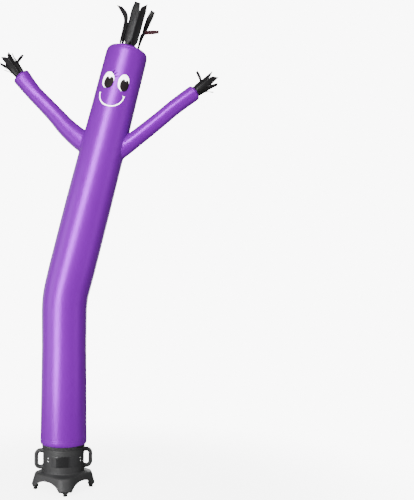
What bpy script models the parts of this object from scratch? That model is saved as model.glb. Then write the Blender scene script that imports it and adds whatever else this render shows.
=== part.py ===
"""An inflatable air dancer standing on its blower: a tall cloth tube with two arms, a
smiling face and black ribbons for hair and hands, held by its foot hem round the duct of a
moulded four-legged fan housing.

Metres, +Z up. The origin is the middle of the whole thing's footprint, on the floor.
The blower is modelled round its own upright axis and the dancer in its own axes, with +X to
the side that it leans to and -Y to its front; two empties put both in place.
"""

import math
from collections import namedtuple

import bmesh
import bpy
from mathutils import Matrix, Quaternion, Vector

# Places
BLOWER_X = -0.2968  # the blower's axis, from the middle of the footprint
BLOWER_Y = 0.0127
DANCER_TURN = math.radians(-12.0)  # the leaning side comes forward by this much
BLOWER_TURN = math.radians(8.0)  # the plate looks a little to the leaning side
GAP = 0.0005  # between pieces that meet
GAP_HARD = 0.0003  # between hard pieces that meet

# Cloth
CLOTH = 0.002
TUBE_SIDES = 28
ARM_SIDES = 16
HEM_HEIGHT = 0.298  # the foot hem's lower edge, above the floor
UPRIGHT_LENGTH = 0.862  # the tube stands straight for this long
BEND_LENGTH = 0.245
LEAN = math.radians(14.6)
LEANING_LENGTH = 1.671
TUBE_LENGTH = UPRIGHT_LENGTH + BEND_LENGTH + LEANING_LENGTH
Girth = namedtuple("Girth", "along diameter")
TUBE_GIRTHS = [
    Girth(along=0.000, diameter=0.2990),
    Girth(along=0.004, diameter=0.3025),
    Girth(along=0.012, diameter=0.3080),
    Girth(along=0.026, diameter=0.3115),
    Girth(along=0.150, diameter=0.3090),
    Girth(along=0.640, diameter=0.3030),
    Girth(along=0.950, diameter=0.3120),
    Girth(along=1.200, diameter=0.3190),
    Girth(along=1.650, diameter=0.3185),
    Girth(along=2.000, diameter=0.3120),
    Girth(along=2.350, diameter=0.3000),
    Girth(along=2.730, diameter=0.2920),
    Girth(along=2.755, diameter=0.2880),
    Girth(along=2.770, diameter=0.2800),
    Girth(along=2.778, diameter=0.2680),
]

# Crown and hand panels, with their vents
CROWN_RISE = 0.034
CROWN_VENT = 0.0722
HAND_RISE = 0.012
HAND_VENT = 0.0372
RING_WALL = 0.003
RING_BELOW = 0.010
RING_ABOVE = 0.006
ROOT_ABOVE = 0.002  # the ribbons start on the ring, this far above the panel

# Arms: the middle line and the width, in the dancer's axes
ArmRow = namedtuple("ArmRow", "x y z width")
LEFT_ARM = [
    ArmRow(x=0.230, y=0.000, z=2.332, width=0.142),
    ArmRow(x=0.133, y=0.000, z=2.391, width=0.144),
    ArmRow(x=0.016, y=-0.004, z=2.495, width=0.128),
    ArmRow(x=-0.069, y=-0.012, z=2.592, width=0.115),
    ArmRow(x=-0.148, y=-0.025, z=2.678, width=0.110),
    ArmRow(x=-0.229, y=-0.045, z=2.766, width=0.108),
    ArmRow(x=-0.313, y=-0.082, z=2.878, width=0.124),
]
RIGHT_ARM = [
    ArmRow(x=0.350, y=0.000, z=2.283, width=0.122),
    ArmRow(x=0.439, y=0.000, z=2.343, width=0.118),
    ArmRow(x=0.525, y=0.000, z=2.404, width=0.110),
    ArmRow(x=0.658, y=0.004, z=2.504, width=0.105),
    ArmRow(x=0.783, y=0.012, z=2.604, width=0.103),
    ArmRow(x=0.918, y=0.026, z=2.701, width=0.105),
]
ARM_STEPS = 2  # sections between two rows
CUFF_ROUND = 0.006  # how far the cuff's last edge draws in
SEAM_ALLOWANCE = 0.006  # an arm's hole is this much smaller than the arm, all round

# Face, on the head: angles round the tube from its front, lengths down from its top
FACE_ANGLE = math.radians(4.8)
EYE_DOWN = 0.264
EYE_APART = 0.057  # each eye's middle from the face's middle, round the cloth
EYE_HALF = (0.0425, 0.0600)
PUPIL_HALF = (0.0285, 0.0380)
PUPIL_SHIFT = (0.0140, -0.0190)
PUPIL_NOTCH_AT = math.radians(90.0)
PUPIL_NOTCH_HALF = math.radians(24.0)
PUPIL_NOTCH_DEPTH = 0.46
SMILE_DOWN = 0.353
SMILE_HALF = (0.094, 0.088)
SMILE_LINE = 0.0115
SMILE_TICK = 0.026
PATCH = 0.0012  # a face piece's thickness
PATCH_LIFT = 0.0008

# Ribbons: where round the ring each one starts, and how it goes on
Ribbon = namedtuple("Ribbon", "around length width splay bend_at bend twist")
RIBBON_THICK = 0.0016
RIBBON_STEPS = 9
RIBBON_BEND_SHARE = 0.35  # a bend takes this share of the length
RIBBON_ROOT_SHARE = 0.15  # the gathered root takes this share
HAIR = [
    Ribbon(around=180, length=0.292, width=0.036, splay=0, bend_at=0.52, bend=58, twist=50),
    Ribbon(around=150, length=0.230, width=0.026, splay=3, bend_at=0.50, bend=-4, twist=-20),
    Ribbon(around=108, length=0.300, width=0.050, splay=-2, bend_at=0.50, bend=4, twist=15),
    Ribbon(around=36, length=0.296, width=0.038, splay=9, bend_at=0.50, bend=6, twist=80),
    Ribbon(around=-4, length=0.252, width=0.032, splay=2, bend_at=0.36, bend=84, twist=80),
    Ribbon(around=-60, length=0.308, width=0.054, splay=5, bend_at=0.55, bend=6, twist=8),
    Ribbon(around=-118, length=0.342, width=0.054, splay=-1, bend_at=0.40, bend=-2, twist=-8),
]
HAND_RIBBONS = [
    Ribbon(around=62, length=0.150, width=0.024, splay=9, bend_at=0.50, bend=4, twist=15),
    Ribbon(around=15, length=0.162, width=0.026, splay=3, bend_at=0.50, bend=6, twist=-20),
    Ribbon(around=-32, length=0.145, width=0.022, splay=3, bend_at=0.50, bend=16, twist=20),
    Ribbon(around=-76, length=0.110, width=0.014, splay=8, bend_at=0.35, bend=26, twist=0),
    Ribbon(around=-120, length=0.140, width=0.020, splay=4, bend_at=0.45, bend=18, twist=-25),
    Ribbon(around=-164, length=0.160, width=0.026, splay=2, bend_at=0.50, bend=8, twist=15),
    Ribbon(around=148, length=0.152, width=0.022, splay=4, bend_at=0.50, bend=5, twist=-15),
    Ribbon(around=104, length=0.138, width=0.012, splay=0, bend_at=0.32, bend=82, twist=35),
]

# Blower: the moulded base, a square with its corners cut off, from height to height
ROUND_SEGMENTS = 40
BASE_SEGMENTS = 48
BaseRing = namedtuple("BaseRing", "height half_side reach roundness")
BASE_OUTSIDE = [
    BaseRing(height=0.0200, half_side=0.1610, reach=0.1960, roundness=0.0),
    BaseRing(height=0.0240, half_side=0.1695, reach=0.2085, roundness=0.0),
    BaseRing(height=0.0330, half_side=0.1740, reach=0.2145, roundness=0.0),
    BaseRing(height=0.1000, half_side=0.1620, reach=0.1945, roundness=0.0),
    BaseRing(height=0.1070, half_side=0.1585, reach=0.1895, roundness=0.0),
    BaseRing(height=0.1105, half_side=0.1530, reach=0.1800, roundness=0.1),
    BaseRing(height=0.1165, half_side=0.1450, reach=0.1540, roundness=0.6),
    BaseRing(height=0.1210, half_side=0.1385, reach=0.1385, roundness=1.0),
]
BASE_INSIDE = [
    BaseRing(height=0.1210, half_side=0.1310, reach=0.1310, roundness=1.0),
    BaseRing(height=0.1040, half_side=0.1310, reach=0.1310, roundness=1.0),
    BaseRing(height=0.1000, half_side=0.1490, reach=0.1600, roundness=0.0),
    BaseRing(height=0.0330, half_side=0.1660, reach=0.1710, roundness=0.0),
    BaseRing(height=0.0200, half_side=0.1580, reach=0.1665, roundness=0.0),
]
CORNER_SHARPNESS = 26  # the power that rounds the base's upright edges
ARCH_HALF_WIDTH = 0.110
ARCH_FOOT = 0.008  # the height at which the arch is widest
ARCH_TOP = 0.072
BOSS_RADIUS = 0.0165
BOSS_BOTTOM = 0.0123
BOSS_TOP = 0.0300
FOOT_REACH = 0.188
FOOT_RADIUS = 0.0128
FOOT_HEIGHT = 0.0120
FOOT_EDGE = 0.0015

# Blower: the drum
DRUM_BOTTOM = 0.1213
DRUM_SHOULDER = 0.2720  # the plain wall ends here, under the lower bead
DRUM_TOP = 0.3380
DRUM_RADIUS_LOW = 0.1385
DRUM_RADIUS_HIGH = 0.1408
DRUM_NECK = 0.1410  # the radius between and above the beads
DRUM_INSIDE = 0.1310
BEAD_RADIUS = 0.1465
BEAD_HALF = 0.0045
BEAD_HEIGHTS = (0.2800, 0.3200)
GUARD_LEDGE = 0.3220
GUARD_SEAT = 0.1350
NOTCH_COUNT = 6
NOTCH_FROM_FRONT = math.radians(45.0)
NOTCH_WIDTH = 0.009
NOTCH_DEPTH = 0.008
BAND = (0.2850, 0.3150)  # the hook band's lower and upper edge
BAND_RADIUS = 0.1455
GUARD_THICK = 0.002
GUARD_RADIUS = 0.1340
GUARD_HUB = 0.030
GUARD_GAP = 0.0205
GUARD_BAR = 0.0045
GUARD_RINGS = 4
GUARD_SECTORS = 6

# Blower: handles and fittings
HANDLE_BAR = 0.0108
HANDLE_REACH = 0.1845  # the bar's middle line, from the blower's axis
HANDLE_HEIGHTS = (0.1440, 0.2530)
HANDLE_CORNER = 0.028
PLATE_HEIGHTS = (0.166, 0.235)
PLATE_HALF_ANGLE = math.radians(40.0)
PLATE_THICK = 0.0015
RIVET_ANGLE = math.radians(50.0)
RIVET_HEIGHTS = {"upper": 0.2180, "lower": 0.1985}
RIVET_RADIUS = 0.00325
SCREW_HEIGHT = 0.3278
SCREW_RADIUS = 0.0028
GLAND_HEIGHT = 0.150

FRONT = math.radians(-90.0)
UP = Vector((0, 0, 1))


# --- small tools ---------------------------------------------------------------------------


def clear_scene():
    for item in list(bpy.data.objects):
        bpy.data.objects.remove(item, do_unlink=True)


def new_collection(name):
    made = bpy.data.collections.new(name)
    bpy.context.scene.collection.children.link(made)
    return made


def material(name, colour, roughness, metallic=0.0):
    made = bpy.data.materials.new(name)
    made.use_nodes = True
    shader = made.node_tree.nodes["Principled BSDF"]
    shader.inputs["Base Color"].default_value = (*colour, 1.0)
    shader.inputs["Roughness"].default_value = roughness
    shader.inputs["Metallic"].default_value = metallic
    made.diffuse_color = (*colour, 1.0)
    return made


def smooth(share):
    """A soft step from 0 to 1."""
    share = min(max(share, 0.0), 1.0)
    return share * share * (3.0 - 2.0 * share)


def arc(middle, radius, first, last, steps):
    """Points (u, v) on an arc, both ends included; the angles are in degrees."""
    found = []
    for step in range(steps + 1):
        angle = math.radians(first + (last - first) * step / steps)
        found.append((middle[0] + radius * math.cos(angle), middle[1] + radius * math.sin(angle)))
    return found


class Workshop:
    """Keeps the collections and the two places that pieces are parented to."""

    def __init__(self):
        self.parts = new_collection("inflatable_air_dancer")
        self.cutters = new_collection("cutters")
        self.blower = self.place("blower_place", BLOWER_TURN)
        self.dancer = self.place("dancer_place", DANCER_TURN)

    def place(self, name, turn):
        empty = bpy.data.objects.new(name, None)
        empty.location = (BLOWER_X, BLOWER_Y, 0.0)
        empty.rotation_euler.z = turn
        self.parts.objects.link(empty)
        return empty

    def add(self, name, mesh, finish, parent):
        """A finished piece."""
        piece = bpy.data.objects.new(name, mesh)
        self.parts.objects.link(piece)
        piece.parent = parent
        mesh.materials.clear()
        mesh.materials.append(finish)
        return piece

    def add_cutter(self, name, mesh, parent):
        cutter = bpy.data.objects.new(name, mesh)
        self.cutters.objects.link(cutter)
        cutter.parent = parent
        cutter.hide_render = True
        cutter.display_type = "WIRE"
        return cutter


def solidify(piece, thickness, offset):
    wall = piece.modifiers.new("wall", "SOLIDIFY")
    wall.thickness = thickness
    wall.offset = offset
    return wall


def boolean(piece, other, operation):
    step = piece.modifiers.new(operation.lower(), "BOOLEAN")
    step.operation = operation
    step.object = other
    return step


def mesh_from(name, build):
    """A mesh from a function that fills a bmesh."""
    bm = bmesh.new()
    build(bm)
    bmesh.ops.recalc_face_normals(bm, faces=bm.faces[:])
    mesh = bpy.data.meshes.new(name)
    bm.to_mesh(mesh)
    bm.free()
    return mesh


def shade_round(mesh, angle=40.0):
    mesh.shade_smooth()
    mesh.set_sharp_from_angle(angle=math.radians(angle))


def loft_mesh(name, rings, closed_round=False, caps=True):
    """A skin over rings of equally many points. closed_round joins the last ring to the first."""

    def build(bm):
        rows = [[bm.verts.new(point) for point in ring] for ring in rings]
        pairs = list(zip(rows, rows[1:]))
        if closed_round:
            pairs.append((rows[-1], rows[0]))
        count = len(rows[0])
        for low, high in pairs:
            for i in range(count):
                j = (i + 1) % count
                bm.faces.new((low[i], low[j], high[j], high[i]))
        if caps and not closed_round:
            bm.faces.new(rows[0])
            bm.faces.new(rows[-1])

    return mesh_from(name, build)


def turned(name, profile, segments, closed=True):
    """A turned solid's mesh and the profile's steps, for a Screw modifier.

    The profile is (radius, height) points that run down the outer side, top to bottom.
    """
    mesh = bpy.data.meshes.new(name)
    points = [(radius, 0.0, height) for radius, height in profile]
    edges = [(i, i + 1) for i in range(len(points) - 1)]
    if closed:
        edges.append((len(points) - 1, 0))
    mesh.from_pydata(points, edges, [])
    return mesh, segments


def spin(piece, segments):
    screw = piece.modifiers.new("turn", "SCREW")
    screw.axis = "Z"
    screw.angle = math.tau
    screw.steps = segments
    screw.render_steps = segments
    screw.use_merge_vertices = True
    screw.merge_threshold = 0.00001
    screw.use_smooth_shade = True
    return screw


def add_turned(shop, name, profile, finish, parent, segments=ROUND_SEGMENTS, closed=True):
    mesh, steps = turned(name, profile, segments, closed)
    piece = shop.add(name, mesh, finish, parent)
    spin(piece, steps)
    return piece


def swept_mesh(name, points, radii, sides, caps):
    """A tube along points, as a mesh with its ends welded."""
    curve = bpy.data.curves.new(name, "CURVE")
    curve.dimensions = "3D"
    curve.twist_mode = "MINIMUM"
    curve.bevel_depth = 1.0
    curve.bevel_resolution = (sides - 4) // 2
    curve.use_fill_caps = caps
    spline = curve.splines.new("POLY")
    spline.points.add(len(points) - 1)
    for place, point, radius in zip(spline.points, points, radii):
        place.co = (*point, 1.0)
        place.radius = radius
    holder = bpy.data.objects.new(name, curve)
    bpy.context.scene.collection.objects.link(holder)
    bpy.context.view_layer.update()
    evaluated = holder.evaluated_get(bpy.context.evaluated_depsgraph_get())
    mesh = bpy.data.meshes.new_from_object(evaluated)
    bpy.data.objects.remove(holder, do_unlink=True)
    bm = bmesh.new()
    bm.from_mesh(mesh)
    bmesh.ops.remove_doubles(bm, verts=bm.verts[:], dist=0.00001)
    bmesh.ops.recalc_face_normals(bm, faces=bm.faces[:])
    bm.to_mesh(mesh)
    bm.free()
    shade_round(mesh)
    return mesh


# --- the dancer's tube ---------------------------------------------------------------------


def lean_at(along):
    """How far the tube leans at a distance along it from the hem."""
    return LEAN * smooth((along - UPRIGHT_LENGTH) / BEND_LENGTH)


def spine(along):
    """The tube's middle line, at a distance along it from the hem."""
    steps = 400
    x, z = 0.0, HEM_HEIGHT
    start = min(along, UPRIGHT_LENGTH)
    z += start
    rest = along - start
    for step in range(steps):
        angle = lean_at(start + rest * (step + 0.5) / steps)
        x += math.sin(angle) * rest / steps
        z += math.cos(angle) * rest / steps
    return Vector((x, 0.0, z))


def tube_radius(along):
    """Half the tube's diameter there, eased between the rows of its table."""
    for low, high in zip(TUBE_GIRTHS, TUBE_GIRTHS[1:]):
        if along <= high.along:
            share = (along - low.along) / (high.along - low.along)
            return (low.diameter + (high.diameter - low.diameter) * share) / 2
    return TUBE_GIRTHS[-1].diameter / 2


def tube_stations():
    """Distances along the tube where it gets a section: its rows, and the bend's steps."""
    found = {row.along for row in TUBE_GIRTHS if row.along < TUBE_LENGTH}
    bend_steps = 6
    for step in range(bend_steps + 1):
        found.add(round(UPRIGHT_LENGTH + BEND_LENGTH * step / bend_steps, 4))
    found.discard(0.950)
    found.add(TUBE_LENGTH)
    return sorted(found)


def tube_mesh(name, grow, caps):
    stations = tube_stations()
    points = [spine(along) for along in stations]
    radii = [tube_radius(along) + grow for along in stations]
    return swept_mesh(name, points, radii, TUBE_SIDES, caps)


def catmull(rows, steps):
    """A smooth line through the rows, as rows again."""
    kind = type(rows[0])
    found = []
    for i in range(len(rows) - 1):
        before = rows[max(i - 1, 0)]
        after = rows[min(i + 2, len(rows) - 1)]
        for step in range(steps):
            t = step / steps
            values = []
            for a, b, c, d in zip(before, rows[i], rows[i + 1], after):
                values.append(
                    0.5
                    * (
                        2 * b
                        + (c - a) * t
                        + (2 * a - 5 * b + 4 * c - d) * t * t
                        + (3 * b - a - 3 * c + d) * t * t * t
                    )
                )
            found.append(kind(*values))
    found.append(rows[-1])
    return found


def arm_line(rows):
    """The arm's sections: its smooth line, with the cuff's edge drawn in at the end."""
    line = catmull(rows, ARM_STEPS)
    last = line[-1]
    before = line[-2]
    share = CUFF_ROUND / (Vector(last[:3]) - Vector(before[:3])).length
    near = [b + (a - b) * 2 * share for a, b in zip(before, last)]
    line.insert(-1, ArmRow(near[0], near[1], near[2], last.width))
    line[-1] = last._replace(width=last.width - 2 * CUFF_ROUND)
    return line


def arm_mesh(name, rows, grow, caps):
    line = arm_line(rows)
    points = [Vector(row[:3]) for row in line]
    radii = [row.width / 2 + grow for row in line]
    return swept_mesh(name, points, radii, ARM_SIDES, caps)


def arm_end(rows):
    """The matrix that stands on an arm's end: +Z out of it, +Y to the dancer's back."""
    line = arm_line(rows)
    end = Vector(line[-1][:3])
    out = (end - Vector(line[-3][:3])).normalized()
    return standing_on(end, out)


def standing_on(point, out):
    back = Vector((0, 1, 0))
    back = (back - out * back.dot(out)).normalized()
    side = back.cross(out)
    return Matrix.Translation(point) @ Matrix((side, back, out)).transposed().to_4x4()


def head_top():
    out = Vector((math.sin(LEAN), 0.0, math.cos(LEAN)))
    return standing_on(spine(TUBE_LENGTH), out)


def add_tube_and_arms(shop, cloth):
    tube = shop.add("body_tube", tube_mesh("body_tube", 0.0, False), cloth, shop.dancer)
    solidify(tube, CLOTH, -1.0)
    outside = shop.add_cutter("tube_outside", tube_mesh("tube_outside", GAP, True), shop.dancer)
    for name, rows in (("left_arm", LEFT_ARM), ("right_arm", RIGHT_ARM)):
        arm = shop.add(name, arm_mesh(name, rows, 0.0, False), cloth, shop.dancer)
        solidify(arm, CLOTH, -1.0)
        boolean(arm, outside, "DIFFERENCE")
        hole_mesh = arm_mesh(name + "_hole", rows[:3], -CLOTH - SEAM_ALLOWANCE, True)
        hole = shop.add_cutter(name + "_hole", hole_mesh, shop.dancer)
        boolean(tube, hole, "DIFFERENCE")


# --- crown, hands and ribbons --------------------------------------------------------------


def panel_profile(outer, vent, rise):
    """A round panel's section, bulged by the air, from its vent's edge out to its seam."""
    steps = 3
    top = []
    for step in range(steps + 1):
        radius = vent + (outer - vent) * step / steps
        height = rise * (1.0 - (radius / outer) ** 2)
        top.append((radius, height + CLOTH + GAP))
    under = [(radius, height - CLOTH) for radius, height in reversed(top)]
    return top + under


def add_panel(shop, name, placing, outer, vent, rise, cloth, segments):
    panel = add_turned(
        shop, name, panel_profile(outer, vent, rise), cloth, shop.dancer, segments
    )
    panel.matrix_basis = placing
    return rise * (1.0 - (vent / outer) ** 2) + CLOTH + GAP


def ribbon_path(ribbon, radius, start):
    """The ribbon's middle line and headings, in its ring's axes, root first."""
    root = math.radians(ribbon.around)
    radial = Vector((math.cos(root), math.sin(root), 0.0))
    across = UP.cross(radial)
    point = radial * radius + UP * start
    found = []
    for step in range(RIBBON_STEPS + 1):
        share = step / RIBBON_STEPS
        turned_by = ribbon.bend * smooth((share - ribbon.bend_at) / RIBBON_BEND_SHARE)
        pitch = math.radians(ribbon.splay * smooth(share / RIBBON_ROOT_SHARE) + turned_by)
        heading = UP * math.cos(pitch) + radial * math.sin(pitch)
        twist = Quaternion(heading, math.radians(ribbon.twist * smooth(share)))
        found.append((point.copy(), heading, twist @ across, share))
        point = point + heading * ribbon.length / RIBBON_STEPS
    return found


def ribbon_width(share, width):
    """Gathered at the root, full further on, a little narrower at the tip."""
    gathered = 0.5 + 0.5 * smooth(share / RIBBON_ROOT_SHARE)
    trimmed = 1.0 - 0.25 * smooth((share - 0.8) / 0.2)
    return width * gathered * trimmed


def ribbon_sections(ribbon, radius, start):
    rings = []
    for point, heading, across, share in ribbon_path(ribbon, radius, start):
        half = across * ribbon_width(share, ribbon.width) / 2
        thick = heading.cross(across) * RIBBON_THICK / 2
        rings.append([point + half + thick, point - half + thick, point - half - thick, point + half - thick])
    return rings


def add_ribbons(shop, name, placing, ribbons, vent, seat, finish, segments):
    """A narrow ring in the vent with its ribbons sewn on, one solid."""
    outer = vent - GAP
    inner = outer - RING_WALL
    top = seat + RING_ABOVE
    bottom = seat - RING_BELOW
    profile = [(outer, top), (outer, bottom), (inner, bottom), (inner, top)]
    ring = add_turned(shop, name, profile, finish, shop.dancer, segments)
    ring.matrix_basis = placing
    root_height = seat + ROOT_ABOVE
    for number, ribbon in enumerate(ribbons, start=1):
        rings = ribbon_sections(ribbon, (outer + inner) / 2, root_height)
        strand_name = f"{name}_strand_{number}"
        strand = shop.add_cutter(strand_name, loft_mesh(strand_name, rings), shop.dancer)
        strand.matrix_basis = placing
        boolean(ring, strand, "UNION")
    return ring


def add_ends(shop, cloth, ribbon_finish):
    crown = head_top()
    outer = tube_radius(TUBE_LENGTH) - 0.001
    seat = add_panel(shop, "crown_panel", crown, outer, CROWN_VENT, CROWN_RISE, cloth, TUBE_SIDES)
    add_ribbons(shop, "hair_ribbons", crown, HAIR, CROWN_VENT, seat, ribbon_finish, TUBE_SIDES)
    hands = (("left_hand", LEFT_ARM, -1), ("right_hand", RIGHT_ARM, 1))
    for name, rows, side in hands:
        end = arm_end(rows)
        outer = rows[-1].width / 2 - CUFF_ROUND - 0.001
        seat = add_panel(
            shop, name + "_panel", end, outer, HAND_VENT, HAND_RISE, cloth, ARM_SIDES
        )
        ribbons = [
            ribbon._replace(around=hand_angle(ribbon.around, side), twist=side * ribbon.twist)
            for ribbon in HAND_RIBBONS
        ]
        add_ribbons(
            shop, name + "_ribbons", end, ribbons, HAND_VENT, seat, ribbon_finish, ARM_SIDES
        )


def hand_angle(around, side):
    """The ribbons' angle 90 is a hand's upper side, which is -X of the right hand's end."""
    return 90 + around if side > 0 else 90 - around


# --- face ----------------------------------------------------------------------------------


def on_head(across, down, lift):
    """A point on the head's cloth, across from the face's middle and down from the top."""
    along = TUBE_LENGTH - down
    radius = tube_radius(along) + lift
    angle = FRONT + FACE_ANGLE + across / tube_radius(along)
    lean = lean_at(along)
    side = Vector((math.cos(lean), 0.0, -math.sin(lean)))
    return spine(along) + side * radius * math.cos(angle) + Vector((0, 1, 0)) * radius * math.sin(angle)


def add_patch(shop, name, middle, outline, lift, finish, rings=3, points=28):
    """A closed patch that follows the cloth: rings of points shrink to its middle."""

    def build(bm):
        centre = bm.verts.new(on_head(middle[0], middle[1], lift))
        rows = []
        for ring in range(1, rings + 1):
            share = ring / rings
            row = []
            for i in range(points):
                across, up = outline(math.tau * i / points)
                place = on_head(middle[0] + across * share, middle[1] - up * share, lift)
                row.append(bm.verts.new(place))
            rows.append(row)
        for i in range(points):
            j = (i + 1) % points
            bm.faces.new((centre, rows[0][i], rows[0][j]))
            for inner, outer in zip(rows, rows[1:]):
                bm.faces.new((inner[i], outer[i], outer[j], inner[j]))

    mesh = mesh_from(name, build)
    face_outwards(mesh)
    patch = shop.add(name, mesh, finish, shop.dancer)
    solidify(patch, PATCH, 1.0)
    return patch


def face_outwards(mesh):
    """Turn an open patch's faces to the dancer's front."""
    if mesh.polygons[0].normal.y > 0:
        mesh.flip_normals()


def eye_outline(angle):
    return EYE_HALF[0] * math.cos(angle), EYE_HALF[1] * math.sin(angle)


def pupil_outline(angle):
    """An oval with a wedge cut into its top."""
    off = abs(angle - PUPIL_NOTCH_AT) / PUPIL_NOTCH_HALF
    share = 1.0 - PUPIL_NOTCH_DEPTH * max(0.0, 1.0 - off)
    return PUPIL_HALF[0] * math.cos(angle) * share, PUPIL_HALF[1] * math.sin(angle) * share


def add_smile(shop, finish):
    """A line that hangs between two short ticks."""
    steps = 22
    sides = []
    for step in range(steps + 1):
        angle = math.pi + math.pi * step / steps
        across = SMILE_HALF[0] * math.cos(angle)
        up = SMILE_HALF[1] * math.sin(angle)
        normal = Vector((SMILE_HALF[1] * math.cos(angle), SMILE_HALF[0] * math.sin(angle)))
        normal.normalize()
        width = SMILE_TICK if step in (0, steps) else SMILE_LINE
        half = normal * width / 2
        sides.append(((across + half.x, up + half.y), (across - half.x, up - half.y)))

    def build(bm):
        rows = []
        for pair in sides:
            rows.append([bm.verts.new(on_head(u, SMILE_DOWN - v, PATCH_LIFT)) for u, v in pair])
        for low, high in zip(rows, rows[1:]):
            bm.faces.new((low[0], low[1], high[1], high[0]))

    mesh = mesh_from("smile", build)
    face_outwards(mesh)
    smile = shop.add("smile", mesh, finish, shop.dancer)
    solidify(smile, PATCH, 1.0)


def add_face(shop, white, dark):
    for name, side in (("left", -1), ("right", 1)):
        across = side * EYE_APART
        add_patch(shop, name + "_eye_white", (across, EYE_DOWN), eye_outline, PATCH_LIFT, white)
        pupil_at = (across + PUPIL_SHIFT[0], EYE_DOWN - PUPIL_SHIFT[1])
        lift = PATCH_LIFT + PATCH + GAP
        add_patch(shop, name + "_pupil", pupil_at, pupil_outline, lift, dark, rings=2, points=30)
    add_smile(shop, white)


# --- blower --------------------------------------------------------------------------------


def base_radius(angle, ring):
    """The base's outline: a square whose corners, cut off, point along X and Y."""
    total = 0.0
    for side in range(8):
        facing = math.cos(angle - side * math.pi / 4)
        limit = ring.reach if side % 2 == 0 else ring.half_side
        total += max(facing, 0.0) ** CORNER_SHARPNESS / limit**CORNER_SHARPNESS
    cornered = total ** (-1.0 / CORNER_SHARPNESS)
    return cornered + (ring.half_side - cornered) * ring.roundness


def base_ring(ring):
    found = []
    for i in range(BASE_SEGMENTS):
        angle = math.tau * i / BASE_SEGMENTS
        radius = base_radius(angle, ring)
        found.append((radius * math.cos(angle), radius * math.sin(angle), ring.height))
    return found


def arch_mesh(turn):
    """A long block with an arched top, across the base under one pair of sides."""
    outline = arc((0.0, 0.0), 1.0, 0.0, 180.0, 16)
    points = [(ARCH_HALF_WIDTH * u, ARCH_FOOT + (ARCH_TOP - ARCH_FOOT) * v) for u, v in outline]
    points += [(-ARCH_HALF_WIDTH, -0.02), (ARCH_HALF_WIDTH, -0.02)]
    length = 0.25
    along = Vector((math.cos(turn), math.sin(turn), 0.0))
    across = UP.cross(along)
    rings = []
    for end in (-length, length):
        rings.append([along * end + across * u + UP * v for u, v in points])
    return loft_mesh("arch", rings)


def add_base(shop, plastic):
    rings = [base_ring(ring) for ring in BASE_OUTSIDE + BASE_INSIDE]
    mesh = loft_mesh("blower_base", rings, closed_round=True)
    shade_round(mesh, 30.0)
    base = shop.add("blower_base", mesh, plastic, shop.blower)
    for number in range(2):
        turn = math.pi / 4 + number * math.pi / 2
        arch = shop.add_cutter(f"arch_{number + 1}", arch_mesh(turn), shop.blower)
        boolean(base, arch, "DIFFERENCE")
    for name, place in foot_places():
        profile = [(0.0, BOSS_TOP), (BOSS_RADIUS, BOSS_TOP), (BOSS_RADIUS, BOSS_BOTTOM), (0.0, BOSS_BOTTOM)]
        mesh, steps = turned("boss_" + name, profile, 16, closed=False)
        boss = shop.add_cutter("boss_" + name, mesh, shop.blower)
        boss.location = place
        spin(boss, steps)
        boolean(base, boss, "UNION")


def foot_places():
    """Each foot's name and its place under a leg."""
    names = ("right", "back", "left", "front")
    for number, name in enumerate(names):
        angle = number * math.pi / 2
        yield name, Vector((FOOT_REACH * math.cos(angle), FOOT_REACH * math.sin(angle), 0.0))


def add_feet(shop, rubber):
    profile = [
        (0.0, FOOT_HEIGHT),
        (FOOT_RADIUS, FOOT_HEIGHT),
        (FOOT_RADIUS, FOOT_EDGE),
        (FOOT_RADIUS - FOOT_EDGE, 0.0),
        (0.0, 0.0),
    ]
    for name, place in foot_places():
        foot = add_turned(shop, "foot_" + name, profile, rubber, shop.blower, 20, closed=False)
        foot.location = place


def bead(height):
    """A rounded ring that stands out of the drum, top to bottom."""
    rise = BEAD_RADIUS - DRUM_NECK
    points = []
    for u, v in arc((0.0, 0.0), 1.0, 90.0, -90.0, 4):
        points.append((DRUM_NECK + rise * u, height + BEAD_HALF * v))
    return points


def drum_profile():
    return [
        (DRUM_NECK - 0.001, DRUM_TOP),
        (DRUM_NECK, DRUM_TOP - 0.001),
        *bead(BEAD_HEIGHTS[1]),
        *bead(BEAD_HEIGHTS[0]),
        (DRUM_RADIUS_HIGH, DRUM_SHOULDER),
        (DRUM_RADIUS_LOW, DRUM_BOTTOM),
        (DRUM_INSIDE, DRUM_BOTTOM),
        (DRUM_INSIDE, GUARD_LEDGE),
        (GUARD_SEAT, GUARD_LEDGE),
        (GUARD_SEAT, DRUM_TOP),
    ]


def wall_radius(height):
    """The drum's plain wall, which widens a little upwards."""
    share = (height - DRUM_BOTTOM) / (DRUM_SHOULDER - DRUM_BOTTOM)
    return DRUM_RADIUS_LOW + (DRUM_RADIUS_HIGH - DRUM_RADIUS_LOW) * share


def notch_angles():
    return [FRONT + NOTCH_FROM_FRONT + math.tau * i / NOTCH_COUNT for i in range(NOTCH_COUNT)]


def add_drum(shop, plastic):
    drum = add_turned(shop, "blower_drum", drum_profile(), plastic, shop.blower)

    def build(bm):
        for angle in notch_angles():
            size = Matrix.Diagonal((0.02, NOTCH_WIDTH, 2 * NOTCH_DEPTH, 1.0))
            place = Matrix.Rotation(angle, 4, "Z") @ Matrix.Translation((DRUM_NECK, 0, DRUM_TOP))
            bmesh.ops.create_cube(bm, size=1.0, matrix=place @ size)

    notches = shop.add_cutter("rim_notches", mesh_from("rim_notches", build), shop.blower)
    boolean(drum, notches, "DIFFERENCE")


def add_band(shop, hook_tape):
    inner = DRUM_NECK + GAP_HARD
    profile = [(BAND_RADIUS, BAND[1]), (BAND_RADIUS, BAND[0]), (inner, BAND[0]), (inner, BAND[1])]
    add_turned(shop, "hook_band", profile, hook_tape, shop.blower)


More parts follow.
